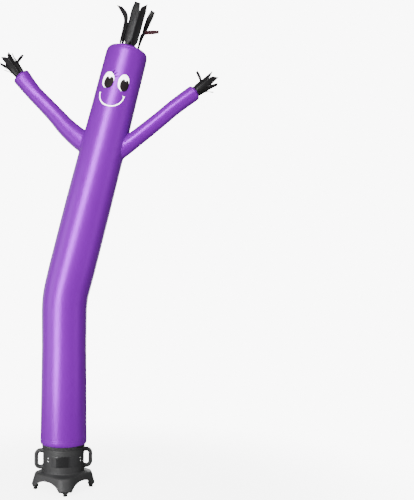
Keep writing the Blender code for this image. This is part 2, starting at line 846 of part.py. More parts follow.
def handle_points():
    """The bar's middle line in the XZ plane: out of the drum, round two corners, back in."""
    low, high = HANDLE_HEIGHTS
    inside = DRUM_RADIUS_LOW - 0.012
    bend = HANDLE_REACH - HANDLE_CORNER
    points = [(inside, high)]
    points += arc((bend, high - HANDLE_CORNER), HANDLE_CORNER, 90.0, 0.0, 5)
    points += arc((bend, low + HANDLE_CORNER), HANDLE_CORNER, 0.0, -90.0, 5)
    points.append((inside, low))
    return points


def add_handles(shop, plastic):
    profile = [
        (0.0, DRUM_SHOULDER),
        (DRUM_RADIUS_HIGH + GAP_HARD, DRUM_SHOULDER),
        (DRUM_RADIUS_LOW + GAP_HARD, DRUM_BOTTOM),
        (0.0, DRUM_BOTTOM),
    ]
    mesh, steps = turned("drum_outside", profile, ROUND_SEGMENTS, closed=False)
    outside = shop.add_cutter("drum_outside", mesh, shop.blower)
    spin(outside, steps)
    for name, side in (("left", -1), ("right", 1)):
        points = [Vector((side * x, 0.0, z)) for x, z in handle_points()]
        bar = swept_mesh("handle_" + name, points, [HANDLE_BAR] * len(points), 12, True)
        handle = shop.add("handle_" + name, bar, plastic, shop.blower)
        boolean(handle, outside, "DIFFERENCE")


def add_plate(shop, gloss):
    """The blank curved plate on the drum's front."""
    across_steps, up_steps = 14, 2

    def build(bm):
        rows = []
        for j in range(up_steps + 1):
            height = PLATE_HEIGHTS[0] + (PLATE_HEIGHTS[1] - PLATE_HEIGHTS[0]) * j / up_steps
            radius = wall_radius(height) + GAP
            row = []
            for i in range(across_steps + 1):
                angle = FRONT + PLATE_HALF_ANGLE * (2 * i / across_steps - 1)
                row.append(bm.verts.new((radius * math.cos(angle), radius * math.sin(angle), height)))
            rows.append(row)
        for low, high in zip(rows, rows[1:]):
            for i in range(across_steps):
                bm.faces.new((low[i], low[i + 1], high[i + 1], high[i]))

    mesh = mesh_from("front_plate", build)
    face_outwards(mesh)
    plate = shop.add("front_plate", mesh, gloss, shop.blower)
    solidify(plate, PLATE_THICK, 1.0)


def on_wall(angle, radius, height):
    """The matrix that stands on an upright round wall: +Z out of it."""
    return Matrix.Rotation(angle, 4, "Z") @ Matrix.Translation((radius, 0, height)) @ Matrix.Rotation(
        math.pi / 2, 4, "Y"
    )


def dome_profile(radius, height):
    return [(0.0, height), (0.7 * radius, 0.7 * height), (radius, 0.15 * height), (radius, 0.0), (0.0, 0.0)]


def add_rivets_and_screws(shop, steel):
    for side_name, side in (("left", -1), ("right", 1)):
        for row_name, height in RIVET_HEIGHTS.items():
            profile = dome_profile(RIVET_RADIUS, 0.0016)
            name = f"rivet_{side_name}_{row_name}"
            rivet = add_turned(shop, name, profile, steel, shop.blower, 10, closed=False)
            rivet.matrix_basis = on_wall(FRONT + side * RIVET_ANGLE, wall_radius(height) + GAP, height)
    for number, angle in enumerate(notch_angles(), start=1):
        profile = dome_profile(SCREW_RADIUS, 0.0018)
        screw = add_turned(shop, f"rim_screw_{number}", profile, steel, shop.blower, 8, closed=False)
        screw.matrix_basis = on_wall(angle, DRUM_NECK + GAP, SCREW_HEIGHT)


def guard_slots():
    """The outlines of the guard's gaps: ring sectors between its round and straight bars."""
    half_bar = GUARD_BAR / 2
    for ring in range(GUARD_RINGS):
        inner = GUARD_HUB + ring * (GUARD_GAP + GUARD_BAR)
        outer = inner + GUARD_GAP
        for sector in range(GUARD_SECTORS):
            start = 360.0 / GUARD_SECTORS * sector
            end = start + 360.0 / GUARD_SECTORS
            outside_trim = math.degrees(half_bar / outer)
            inside_trim = math.degrees(half_bar / inner)
            outside = arc((0, 0), outer, start + outside_trim, end - outside_trim, 3)
            inside = arc((0, 0), inner, end - inside_trim, start + inside_trim, 2)
            yield outside + inside


def add_guard(shop, steel):
    """The round guard that lies on the drum's ledge, one flat grille."""
    half = GUARD_THICK / 2
    profile = [(0.0, half), (GUARD_RADIUS, half), (GUARD_RADIUS, -half), (0.0, -half)]
    guard = add_turned(shop, "wire_guard", profile, steel, shop.blower, 36, closed=False)
    guard.location.z = GUARD_LEDGE + GAP_HARD + half

    def build(bm):
        for outline in guard_slots():
            low = [bm.verts.new((x, y, -2 * GUARD_THICK)) for x, y in outline]
            high = [bm.verts.new((x, y, 2 * GUARD_THICK)) for x, y in outline]
            bm.faces.new(low)
            bm.faces.new(high)
            for i in range(len(outline)):
                j = (i + 1) % len(outline)
                bm.faces.new((low[i], low[j], high[j], high[i]))

    slots = shop.add_cutter("guard_slots", mesh_from("guard_slots", build), shop.blower)
    slots.location.z = guard.location.z
    boolean(guard, slots, "DIFFERENCE")


def add_gland(shop, rubber):
    """The supply lead's gland at the back, with its empty mouth."""
    profile = [
        (0.004, 0.020),
        (0.0065, 0.020),
        (0.0085, 0.014),
        (0.0085, 0.004),
        (0.0125, 0.004),
        (0.0125, 0.0),
        (0.0, 0.0),
        (0.0, 0.008),
        (0.004, 0.008),
    ]
    gland = add_turned(shop, "cable_gland", profile, rubber, shop.blower, 16, closed=True)
    gland.matrix_basis = on_wall(math.radians(90), wall_radius(GLAND_HEIGHT) + GAP, GLAND_HEIGHT)


def main():
    clear_scene()
    shop = Workshop()
    cloth = material("purple_nylon", (0.23, 0.035, 0.52), 0.45)
    ribbon_finish = material("black_ribbon", (0.012, 0.011, 0.012), 0.4)
    white = material("white_print", (0.86, 0.86, 0.86), 0.5)
    dark = material("dark_print", (0.03, 0.022, 0.024), 0.5)
    plastic = material("charcoal_plastic", (0.062, 0.062, 0.064), 0.55)
    gloss = material("gloss_plate", (0.03, 0.03, 0.031), 0.15)
    hook_tape = material("hook_tape", (0.02, 0.02, 0.023), 0.9)
    rubber = material("black_rubber", (0.012, 0.012, 0.012), 0.8)
    steel = material("bright_steel", (0.7, 0.7, 0.7), 0.25, 1.0)
    add_tube_and_arms(shop, cloth)
    add_ends(shop, cloth, ribbon_finish)
    add_face(shop, white, dark)
    add_base(shop, plastic)
    add_drum(shop, plastic)
    add_band(shop, hook_tape)
    add_handles(shop, plastic)
    add_plate(shop, gloss)
    add_rivets_and_screws(shop, steel)
    add_guard(shop, steel)
    add_feet(shop, rubber)
    add_gland(shop, rubber)


main()
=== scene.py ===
"""Looks for an inflatable air dancer standing on its blower.

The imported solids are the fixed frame. The cloth, its print, the ribbons and the blower's
moulding are made here as finer pieces that stand for their solids, each in the space that its
solid holds. Metres, +Z up, and -Y is the dancer's front.
"""

import logging
import math
from dataclasses import dataclass, field, replace
from enum import Enum
from functools import reduce
from typing import Callable, Optional, Sequence, Union

import bmesh
import bpy
import numpy as np
from bpy.types import Material, Mesh, Node, NodeSocket, NodeTree, Object
from mathutils import Matrix, Quaternion, Vector
from numpy import ndarray


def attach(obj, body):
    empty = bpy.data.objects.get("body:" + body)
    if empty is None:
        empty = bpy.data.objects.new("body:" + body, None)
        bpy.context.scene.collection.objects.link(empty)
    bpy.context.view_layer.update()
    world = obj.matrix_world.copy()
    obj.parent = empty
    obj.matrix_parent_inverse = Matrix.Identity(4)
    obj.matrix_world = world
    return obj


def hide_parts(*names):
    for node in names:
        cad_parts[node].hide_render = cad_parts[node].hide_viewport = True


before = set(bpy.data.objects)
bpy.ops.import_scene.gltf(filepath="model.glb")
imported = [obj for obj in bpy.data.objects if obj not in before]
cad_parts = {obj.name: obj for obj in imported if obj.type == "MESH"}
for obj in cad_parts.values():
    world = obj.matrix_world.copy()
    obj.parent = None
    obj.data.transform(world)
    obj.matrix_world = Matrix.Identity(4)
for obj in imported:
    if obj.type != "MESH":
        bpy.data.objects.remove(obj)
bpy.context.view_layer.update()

log = logging.getLogger("air_dancer")

Reals = Union[ndarray, float]
Pair = tuple[float, float]
Triple = tuple[float, float, float]
Row = tuple[float, float, float, float]
Term = Union["Value", float]
Shade = Union["Value", Sequence[float]]
Look = tuple["Value", Term, "Value"]

BODY = "root"
UP = Vector((0.0, 0.0, 1.0))
BACK = Vector((0.0, 1.0, 0.0))
WHITE = (1.0, 1.0, 1.0, 1.0)
FRONT = math.radians(-90.0)
BLOWER_AT = Vector((-0.2968, 0.0127, 0.0))
DANCER_TURN = math.radians(-12.0)
BLOWER_TURN = math.radians(8.0)
DANCER = Matrix.Translation(BLOWER_AT) @ Matrix.Rotation(DANCER_TURN, 4, "Z")
BLOWER = Matrix.Translation(BLOWER_AT) @ Matrix.Rotation(BLOWER_TURN, 4, "Z")
CLOTH = 0.0020  # The cloth's thickness.
FULLER = 0.0025  # How far the cloth stands outside its solid.
STITCH_LIFT = 0.0003  # How far a stitch's middle is off the cloth.


class Side(Enum):
    """The dancer's two sides, as the one who looks at its face has them."""

    LEFT = -1
    RIGHT = 1

    @property
    def word(self) -> str:
        """Its name in the names of pieces."""
        return self.name.lower()


# --- nodes ---


def feed(tree: NodeTree, node: Node, inputs: dict) -> None:
    """Sets a node's inputs.

    Args:
        tree: The tree that it is in.
        node: The node.
        inputs: Values, sockets or shader values, by the input's name or number.
    """
    for key, value in inputs.items():
        value = getattr(value, "socket", value)
        if isinstance(value, NodeSocket):
            tree.links.new(value, node.inputs[key])
        else:
            node.inputs[key].default_value = value


def add_node(tree: NodeTree, kind: str, settings: dict, inputs: dict) -> Node:
    """Adds a node.

    Args:
        tree: The tree.
        kind: The node's type.
        settings: Its own settings, set first.
        inputs: What feeds it, as feed() takes it.

    Returns:
        The node.
    """
    made = tree.nodes.new(kind)
    for key, value in settings.items():
        setattr(made, key, value)
    feed(tree, made, inputs)
    return made


class Value:
    """A shader socket that Python's operators act on; each adds its Math node."""

    def __init__(self, shader: "Shader", socket: NodeSocket) -> None:
        """Wraps a socket."""
        self.shader, self.socket = shader, socket

    def maths(self, operation: str, *values: Term) -> "Value":
        """Adds one Math node."""
        settings = {"operation": operation}
        return self.shader.node("Math", settings, dict(enumerate(values)))

    def __add__(self, other: Term) -> "Value":
        """Self plus other."""
        return self.maths("ADD", self, other)

    def __sub__(self, other: Term) -> "Value":
        """Self minus other."""
        return self.maths("SUBTRACT", self, other)

    def __rsub__(self, other: float) -> "Value":
        """Other minus self."""
        return self.maths("SUBTRACT", other, self)

    def __mul__(self, other: Term) -> "Value":
        """Self times other."""
        return self.maths("MULTIPLY", self, other)

    def rows(self, pitch: float) -> "Value":
        """Rounded rows that follow one another along self."""
        return self.maths("SINE", self * (math.tau / pitch))

    def eased(self, low: float, high: float) -> "Value":
        """Self between two limits, as a smooth step from 0 to 1."""
        settings = {"interpolation_type": "SMOOTHSTEP"}
        values = {"Value": self, "From Min": low, "From Max": high}
        return self.shader.node("MapRange", settings, values, "Result")


class Shader:
    """A material made of one Principled node and what feeds it."""

    def __init__(self, name: str) -> None:
        """Makes the material.

        Args:
            name: The material's name.
        """
        self.material = bpy.data.materials.new(name)
        self.material.use_nodes = True
        self.tree = self.material.node_tree
        self.tree.nodes.clear()
        self.principled = self.tree.nodes.new("ShaderNodeBsdfPrincipled")
        surface = {"Surface": self.principled.outputs["BSDF"]}
        add_node(self.tree, "ShaderNodeOutputMaterial", {}, surface)

    def node(self, kind: str, settings: dict, inputs: dict, output: Union[str, int] = 0) -> Value:
        """Adds any node."""
        made = add_node(self.tree, "ShaderNode" + kind, settings, inputs)
        return Value(self, made.outputs[output])

    def place(self) -> Value:
        """Object coordinates, in metres."""
        return self.node("TexCoord", {}, {}, "Object")

    def cloth_place(self) -> tuple[Value, Value]:
        """The place on the flat cloth, across and along it, in metres."""
        flat = {"Vector": self.node("UVMap", {"uv_map": "flat"}, {})}
        across, along = (self.node("SeparateXYZ", {}, flat, axis) for axis in "XY")
        return across, along

    def mask(self, name: str) -> Value:
        """A piece's own attribute."""
        return self.node("Attribute", {"attribute_name": name}, {}, "Fac")

    def noise(self, scale: float, detail: float = 2.0) -> Value:
        """Noise from 0 to 1 on Object coordinates."""
        inputs = {"Vector": self.place(), "Scale": scale, "Detail": detail}
        return self.node("TexNoise", {}, inputs, "Fac")

    def check(self, pitch: float, start: float) -> Value:
        """A reinforcing check on the flat cloth.

        Args:
            pitch: From one rib to the next.
            start: Where a rib starts, as a share of the pitch from the middle of a square.

        Returns:
            1 on the ribs, 0 between them.
        """
        ribs = []
        for place in self.cloth_place():
            off = place.maths("FRACT", place.maths("DIVIDE", place, pitch)) - 0.5
            ribs.append(off.maths("ABSOLUTE", off).eased(start, 0.5))
        return ribs[0].maths("MAXIMUM", *ribs)

    def blend(self, share: Term, first: Shade, second: Shade) -> Value:
        """A colour between two."""
        settings = {"data_type": "RGBA", "blend_type": "MIX"}
        return self.node("Mix", settings, {0: share, 6: first, 7: second}, 2)

    def tones(self, share: Term, tint: Triple, low: float, high: float) -> Value:
        """A colour that goes from one tone of a tint to another."""
        return self.blend(share, colour(tint, low), colour(tint, high))

    def total(self, shares: Sequence[float], *masks: Value) -> Term:
        """A plain number with shares of some masks.

        Args:
            shares: The plain number, then the share of each mask. A zero adds no node.
            *masks: The masks.

        Returns:
            The sum.
        """
        plain, *shares = shares
        parts = [mask * share for share, mask in zip(shares, masks) if share]
        return reduce(Value.__add__, [*parts, plain] if plain else parts)

    def bump(self, height: Value, depth: float, strength: float) -> Value:
        """A surface relief."""
        inputs = {"Height": height, "Distance": depth, "Strength": strength}
        return self.node("Bump", {}, inputs)

    def finish(self, **inputs: Union[Term, Shade]) -> Material:
        """Feeds the Principled node.

        Args:
            **inputs: Its inputs, with underscores for the spaces in their names.

        Returns:
            The material.
        """
        for key, value in inputs.items():
            name = key.replace("_", " ").title().replace("Ior", "IOR")
            feed(self.tree, self.principled, {name: value})
        return self.material


def colour(rgb: Triple, by: float = 1.0) -> tuple[float, float, float, float]:
    """A colour with its alpha."""
    return (*(min(1.0, part * by) for part in rgb), 1.0)


# --- finishes ---


@dataclass(frozen=True)
class Finish:
    """A finish, told by numbers that its kinds have in common.

    Tones are shares of the tint. A noise has its features in a metre and its finer layers.
    Roughness starts with the plain one, and what each mask adds follows. The relief has its
    depth and its strength, and the heights are the shares that it is made of.
    """

    name: str
    tint: Triple
    tones: Pair = (1.0, 1.0)
    relief: Pair = (0.0001, 0.5)
    gloss: float = 0.5

    def look(self, shader: Shader) -> Look:
        """Its colour, its roughness and its relief's height."""
        raise NotImplementedError

    def more(self) -> dict:
        """The Principled node's other inputs."""
        return {}

    def make(self) -> Material:
        """The material."""
        shader = Shader(self.name)
        shade, roughness, height = self.look(shader)
        normal = shader.bump(height, *self.relief)
        inputs = {"base_color": shade, "roughness": roughness, "specular_ior_level": self.gloss}
        return shader.finish(**inputs, normal=normal, **self.more())


@dataclass(frozen=True)
class Nylon(Finish):
    """Thin coated nylon with a reinforcing check, darker and duller at its seams."""

    name: str = "purple_nylon"
    tint: Triple = (0.048, 0.0001, 0.101)
    tones: Pair = (0.93, 1.07)
    relief: Pair = (0.00012, 0.6)
    gloss: float = 1.0
    gloss_tint: Triple = (0.50, 0.006, 1.0)
    check: Pair = (0.0060, 0.44)
    thread: float = 0.0011
    check_tone: Pair = (0.10, 0.8)  # How much of it, and which tone.
    seam_tone: Pair = (0.30, 0.55)
    clouds: Pair = (2.2, 3.0)
    smears: Pair = (14.0, 2.0)
    creases: Pair = (45.0, 2.0)
    roughness: Triple = (0.27, 0.10, 0.15)
    heights: Triple = (0.7, 0.3, 0.9)

    def look(self, shader: Shader) -> Look:
        """Its colour, its roughness and its relief's height.

        Args:
            shader: What the nodes are added to.

        Returns:
            The three values.
        """
        across, along = shader.cloth_place()
        weave = across.rows(self.thread) * along.rows(self.thread) * 0.5 + 0.5
        check, seam = shader.check(*self.check), shader.mask("seam")
        shade = shader.tones(shader.noise(*self.clouds), self.tint, *self.tones)
        for mask, (share, tone) in ((check, self.check_tone), (seam, self.seam_tone)):
            shade = shader.blend(mask * share, shade, colour(self.tint, tone))
        roughness = shader.total(self.roughness, shader.noise(*self.smears), seam)
        parts = (check, weave, shader.noise(*self.creases))
        return shade, roughness, shader.total((0.0, *self.heights), *parts)

    def more(self) -> dict:
        """The Principled node's other inputs."""
        return {"specular_tint": colour(self.gloss_tint)}


@dataclass(frozen=True)
class Satin(Finish):
    """Black satin ribbon, wine red where it is dyed: fine cords across it, two firm edges."""

    name: str = "black_ribbon"
    tint: Triple = (0.0022, 0.0020, 0.0022)
    tones: Pair = (1.0, 2.4)
    relief: Pair = (0.00015, 0.7)
    gloss: float = 0.11
    wine: Triple = (0.0150, 0.0008, 0.0024)
    cord: float = 0.0016
    thread: float = 0.0009
    streaks: Pair = (60.0, 2.0)
    paler: Triple = (0.0, 0.6, 0.4)
    roughness: Pair = (0.36, 0.18)
    heights: Triple = (0.6, 0.3, 1.5)

    def look(self, shader: Shader) -> Look:
        """Its colour, its roughness and its relief's height.

        Args:
            shader: What the nodes are added to.

        Returns:
            The three values.
        """
        across, along = shader.cloth_place()
        rows = (along.rows(self.cord) * 0.5 + 0.5, across.rows(self.thread) * 0.5 + 0.5)
        edge, streaks = shader.mask("edge"), shader.noise(*self.streaks)
        black = shader.tones(shader.total(self.paler, streaks, edge), self.tint, *self.tones)
        shade = shader.blend(shader.mask("dyed"), black, colour(self.wine))
        height = shader.total((0.0, *self.heights), *rows, edge)
        return shade, shader.total(self.roughness, streaks), height


@dataclass(frozen=True)
class Print(Finish):
    """Flexible ink that lies on the nylon and shows its check a little."""

    tones: Pair = (0.95, 1.05)
    relief: Pair = (0.00008, 0.5)
    gloss: float = 0.4
    check: Pair = (0.0060, 0.43)
    patches: Pair = (80.0, 3.0)
    roughness: Pair = (0.37, 0.1)

    def look(self, shader: Shader) -> Look:
        """Its colour, its roughness and its relief's height.

        Args:
            shader: What the nodes are added to.

        Returns:
            The three values.
        """
        patchy = shader.noise(*self.patches)
        shade = shader.tones(patchy, self.tint, *self.tones)
        height = shader.check(*self.check) * 0.5 + patchy * 0.5
        return shade, shader.total(self.roughness, patchy), height


@dataclass(frozen=True)
class MouldedPlastic(Finish):
    """Charcoal moulded plastic with a fine grain, rubbed a little paler on its edges."""

    name: str = "charcoal_plastic"
    tint: Triple = (0.0100, 0.0100, 0.0103)
    tones: Pair = (0.90, 1.10)
    relief: Pair = (0.00012, 0.55)
    gloss: float = 0.16
    grain: Pair = (1400.0, 2.0)
    clouds: Pair = (9.0, 3.0)
    edges: Pair = (0.52, 0.60)
    scuffs: Pair = (160.0, 3.0)
    scuffed: Pair = (0.45, 0.75)
    rubbed: Pair = (0.45, 2.2)
    roughness: Triple = (0.48, 0.10, 0.06)

    def look(self, shader: Shader) -> Look:
        """Its colour, its roughness and its relief's height.

        Args:
            shader: What the nodes are added to.

        Returns:
            The three values.
        """
        grain, cloud = shader.noise(*self.grain), shader.noise(*self.clouds)
        edge = shader.node("NewGeometry", {}, {}, "Pointiness").eased(*self.edges)
        scuffs = shader.noise(*self.scuffs).eased(*self.scuffed)
        share, tone = self.rubbed
        plain = shader.tones(cloud, self.tint, *self.tones)
        shade = shader.blend(edge * scuffs * share, plain, colour(self.tint, tone))
        return shade, shader.total(self.roughness, grain, cloud), grain


@dataclass(frozen=True)
class GlossPlate(Finish):
    """A glossy dark plate, dusty, duller towards its ends, where a painted reflection makes it
    paler.
    """

    name: str = "gloss_plate"
    tint: Triple = (0.0052, 0.0052, 0.0054)
    tones: Pair = (1.0, 1.8)
    relief: Pair = (0.0002, 0.15)
    gloss: float = 0.10
    # The painted reflection: where it starts and where it is whole at each end, and how much paler
    # it makes the plate.
    left_end: Pair = (-0.062, -0.056)
    right_end: Pair = (0.014, 0.045)
    paler: float = 1.9
    dust: Pair = (260.0, 3.0)
    dusty: Triple = (0.55, 0.8, 0.35)
    smears: Pair = (14.0, 2.0)
    roughness: tuple[float, ...] = (0.16, 0.10, 0.05, 0.2)

    def look(self, shader: Shader) -> Look:
        """Its colour, its roughness and its relief's height.

        Args:
            shader: What the nodes are added to.

        Returns:
            The three values.
        """
        dust, smear = shader.noise(*self.dust), shader.noise(*self.smears)
        across, _ = shader.cloth_place()
        # Painted reflection: 1 towards the plate's ends, where the colour turns paler and the
        # roughness rises, and 0 across its dark middle.
        painted_reflection = 1.0 - across.eased(*self.left_end) * (1.0 - across.eased(*self.right_end))
        low, high, share = self.dusty
        dusty = shader.tones(dust.eased(low, high) * share, self.tint, *self.tones)
        shade = shader.blend(painted_reflection, dusty, colour(self.tint, self.paler))
        return shade, shader.total(self.roughness, smear, dust, painted_reflection), smear


@dataclass(frozen=True)
class HookTape(Finish):
    """The hook side of a hook and loop band: rows of stiff little hooks."""

    name: str = "hook_tape"
    tint: Triple = (0.0036, 0.0036, 0.0042)
    tones: Pair = (0.6, 2.2)
    relief: Pair = (0.0005, 0.8)
    row: float = 0.0016
    hooks: Pair = (-0.2, 0.8)
    fuzz: Pair = (900.0, 1.0)
    roughness: Pair = (0.78, -0.2)
    heights: Triple = (0.0, 1.0, 0.4)

    def look(self, shader: Shader) -> Look:
        """Its colour, its roughness and its relief's height.

        Args:
            shader: What the nodes are added to.

        Returns:
            The three values.
        """
        across, along = shader.cloth_place()
        hooks = (across.rows(self.row) * along.rows(self.row)).eased(*self.hooks)
        height = shader.total(self.heights, hooks, shader.noise(*self.fuzz))
        shade = shader.tones(hooks, self.tint, *self.tones)
        return shade, shader.total(self.roughness, hooks), height


@dataclass(frozen=True)
class Grained(Finish):
    """A plain stuff whose colour and gloss drift a little, with a fine grain."""

    clouds: Pair = (40.0, 3.0)
    edge: Optional[Pair] = None  # Where a cloud starts and where it is whole.
    grain: Pair = (1800.0, 2.0)
    roughness: Pair = (0.5, 0.0)
    metallic: float = 0.0

    def look(self, shader: Shader) -> Look:
        """Its colour, its roughness and its relief's height.

        Args:
            shader: What the nodes are added to.

        Returns:
            The three values.
        """
        cloud = shader.noise(*self.clouds)
        share = cloud.eased(*self.edge) if self.edge else cloud
        shade = shader.tones(share, self.tint, *self.tones)
        return shade, shader.total(self.roughness, cloud), shader.noise(*self.grain)

    def more(self) -> dict:
        """The Principled node's other inputs."""
        return {"metallic": self.metallic}


THREAD = Grained(
    "purple_thread", (0.085, 0.002, 0.18), (0.8, 1.25), clouds=(900.0, 1.0), grain=(900.0, 1.0)
)
RUBBER = Grained(
    "black_rubber", (0.0018, 0.0018, 0.0018), (1.0, 2.6), (0.0001, 0.6), 0.15,
    edge=(0.4, 0.8), roughness=(0.62, 0.15),
)
STEEL = Grained(
    "bright_steel", (0.82, 0.82, 0.83), (0.88, 1.1), (0.00004, 0.4),
    clouds=(220.0, 3.0), grain=(1500.0, 2.0), roughness=(0.24, 0.18), metallic=0.6,
)
INK = Print("dark_print", (0.0040, 0.0026, 0.0030), gloss=0.05, roughness=(0.55, 0.1))


@dataclass(frozen=True)
class PaleFloor:
    """A plain pale floor that fades into the white backdrop."""

    tint: Triple = (0.90, 0.90, 0.90)
    tones: Pair = (0.995, 1.005)
    clouds: Pair = (0.6, 2.0)
    roughness: float = 0.9
    gloss: float = 0.1
    glow: float = 0.3
    fade: Pair = (0.7, 2.6)
    cover: float = 0.45

    def make(self) -> Material:
        """The material."""
        shader = Shader("pale_floor")
        length = {"operation": "LENGTH"}
        reach = shader.node("VectorMath", length, {0: shader.place()}, "Value")
        return shader.finish(
            base_color=shader.tones(shader.noise(*self.clouds), self.tint, *self.tones),
            roughness=self.roughness,
            specular_ior_level=self.gloss,
            emission_color=WHITE,
            emission_strength=self.glow,
            alpha=(1.0 - reach.eased(*self.fade)) * self.cover,
        )


class Finishes:
    """Every finish, made once."""

    def __init__(self) -> None:
        """Makes the materials."""
        self.nylon = Nylon().make()
        self.ribbon = Satin().make()
        self.white = Print("white_print", (0.90, 0.90, 0.91)).make()
        self.dark = INK.make()
        self.thread = THREAD.make()
        self.plastic = MouldedPlastic().make()
        self.gloss = GlossPlate().make()
        self.hooks = HookTape().make()
        self.rubber = RUBBER.make()
        self.steel = STEEL.make()
        self.floor = PaleFloor().make()


# --- shapes ---


def eased(share: Reals) -> Reals:
    """A soft step from 0 to 1."""
    held = np.clip(share, 0.0, 1.0)
    return held * held * (3.0 - 2.0 * held)


def angle_off(angle: ndarray, middle: float) -> ndarray:
    """How far an angle is from another, the short way round."""
    return (angle - middle + math.pi) % math.tau - math.pi


def full_turn(columns: int) -> ndarray:
    """Even angles all the way round, the last one back at the first."""
    return np.linspace(0.0, math.tau, columns + 1)


def around_z(radius: Reals, angle: Reals, height: Reals) -> ndarray:
    """Points round the Z axis."""
    parts = radius * np.cos(angle), radius * np.sin(angle), height
    return np.stack(np.broadcast_arrays(*parts), -1)


@dataclass(frozen=True)
class Swell:
    """A raised feature of the cloth: its height, and how far it reaches each way."""

    height: float
    reach: float

    def bump(self, place: Reals, middle: float = 0.0) -> Reals:
        """Its height as a rounded bump."""
        return self.height * eased(1.0 - np.abs(place - middle) / self.reach)

    def fading(self, off: Reals) -> Reals:
        """Its height where it dies away from an edge."""
        return self.height * np.exp(-np.maximum(off, 0.0) / self.reach)


@dataclass(frozen=True)
class Pull:
    """Rays that a seam pulls into the cloth beside it, and how far they sink and reach."""

    height: float
    sunk: float
    reach: float
    start: float

    def at(self, wave: ndarray, off: ndarray) -> ndarray:
        """Their height where a wave is, at distances from the seam."""
        faded = np.exp(-off / self.reach) * eased(off / self.start)
        return (self.height * wave - self.sunk) * faded


class Ripple:
    """A fixed uneven wave round a ring, from about -1 to 1."""

    def __init__(self, seed: int, fewest: int, most: int, count: int = 7) -> None:
        """Draws its waves.

        Args:
            seed: Fixes them.
            fewest: The fewest waves round the ring.
            most: The most.
            count: How many waves are added.
        """
        draw = np.random.default_rng(seed)
        self.turns = draw.integers(fewest, most + 1, count)
        self.starts = draw.uniform(0.0, math.tau, count)
        self.sizes = draw.uniform(0.4, 1.0, count)

    def at(self, angle: ndarray, drift: Reals = 0.0) -> ndarray:
        """Reads it.

        Args:
            angle: Where round the ring.
            drift: Slides the waves, each at its own rate.

        Returns:
            The wave.
        """
        total = 0.0
        for turns, start, size in zip(self.turns, self.starts, self.sizes):
            total = total + size * np.sin(turns * angle + start + drift * (0.5 + size))
        return total / self.sizes.sum()


@dataclass
class Skin:
    """Rows of points over a sheet, with their places on the flat cloth and their masks."""

    points: ndarray
    flat: Optional[ndarray] = None
    masks: dict[str, ndarray] = field(default_factory=dict)
    closed: bool = False

    def mesh(self, name: str, keep: Optional[ndarray] = None) -> Mesh:
        """Makes the mesh.

        Args:
            name: Its name.
            keep: Which of the faces are kept, by row and column.

        Returns:
            The mesh, smooth, with the UV map "flat" if it has flat places.
        """
        rows, columns = self.points.shape[:2]
        kept = np.ones((rows - 1, columns - (not self.closed)), bool) if keep is None else keep
        i, j = np.nonzero(kept)
        right = (j + 1) % columns
        corners = [i * columns + j, i * columns + right]
        corners += [(i + 1) * columns + right, (i + 1) * columns + j]
        mesh = bpy.data.meshes.new(name)
        mesh.from_pydata(self.points.reshape(-1, 3).tolist(), [], np.stack(corners, 1).tolist())
        if self.flat is not None:
            flat = self.flat
            places = np.stack([flat[i, j], flat[i, j + 1], flat[i + 1, j + 1], flat[i + 1, j]], 1)
            layer = mesh.uv_layers.new(name="flat")
            layer.data.foreach_set("uv", places.astype(np.float32).ravel())
        for mask_name, values in self.masks.items():
            store = mesh.attributes.new(mask_name, "FLOAT", "POINT")
            store.data.foreach_set("value", values.astype(np.float32).ravel())
        mesh.shade_smooth()
        mesh.update()
        return mesh


def lathe(profile: Sequence[Pair], columns: int, relief: Optional[Callable] = None) -> Skin:
    """Turns a profile round Z.

    Args:
        profile: Radius and height, in an order that faces outwards when it runs upwards.
        columns: Points round the ring.
        relief: Gives what is added to the height at an angle and a radius.

    Returns:
        The skin, its flat places round the ring and along the profile.
    """
    profile = np.array(profile)
    angles = full_turn(columns)[None, :]
    radius, height = profile[:, :1] + 0.0 * angles, profile[:, 1:]
    if relief is not None:
        height = height + relief(angles, radius)
    steps = np.linalg.norm(np.diff(profile, axis=0), axis=1)
    run = np.concatenate([[0.0], np.cumsum(steps)])[:, None]
    flat = np.stack(np.broadcast_arrays(angles * profile[:, 0].mean(), run), -1)
    return Skin(around_z(radius, angles, height)[:, :-1], flat, closed=True)


def stored(shape: bmesh.types.BMesh, mesh: Mesh) -> Mesh:
    """Puts an edited shape into a mesh and frees it."""
    shape.to_mesh(mesh)
    shape.free()
    return mesh


def solid(name: str, skin: Skin, sharp: Optional[float] = None) -> Mesh:
    """Closes a skin's ends and turns its faces outwards.

    Args:
        name: The mesh's name.
        skin: The skin.
        sharp: Edges that turn by more than this, in degrees, look sharp.

    Returns:
        The mesh.
    """
    mesh = skin.mesh(name)
    shape = bmesh.new()
    shape.from_mesh(mesh)
    bmesh.ops.remove_doubles(shape, verts=shape.verts[:], dist=0.00002)
    bmesh.ops.holes_fill(shape, edges=[edge for edge in shape.edges if edge.is_boundary])
    bmesh.ops.recalc_face_normals(shape, faces=shape.faces[:])
    stored(shape, mesh).shade_smooth()
    if sharp is not None:
        mesh.set_sharp_from_angle(angle=math.radians(sharp))
    return mesh


def moved(mesh: Mesh, place: Matrix) -> Mesh:
    """Puts a place into a mesh."""
    mesh.transform(place)
    return mesh


def placed(place: Matrix, points: ndarray) -> ndarray:
    """Moves points."""
    turn = np.array(place)
    return points @ turn[:3, :3].T + turn[:3, 3]


def standing_on(point: Sequence[float], out: Sequence[float]) -> Matrix:
    """The matrix that stands on an end: +Z out of it, +Y to the dancer's back.

    Args:
        point: The end's middle.
        out: The way out of it.

    Returns:
        The matrix.
    """
    out = Vector(out).normalized()
    back = (BACK - out * BACK.dot(out)).normalized()
    axes = Matrix((back.cross(out), back, out)).transposed().to_4x4()
    return Matrix.Translation(point) @ axes


# --- pieces ---


def add(name: str, data: bpy.types.ID, finish: Optional[Material] = None) -> Object:
    """Links an object.

    Args:
        name: The object's name.
        data: Its mesh, light or camera.
        finish: A mesh's material.

    Returns:
        The object.
    """
    piece = bpy.data.objects.new(name, data)
    bpy.context.scene.collection.objects.link(piece)
    if finish is not None:
        data.materials.append(finish)
    return piece


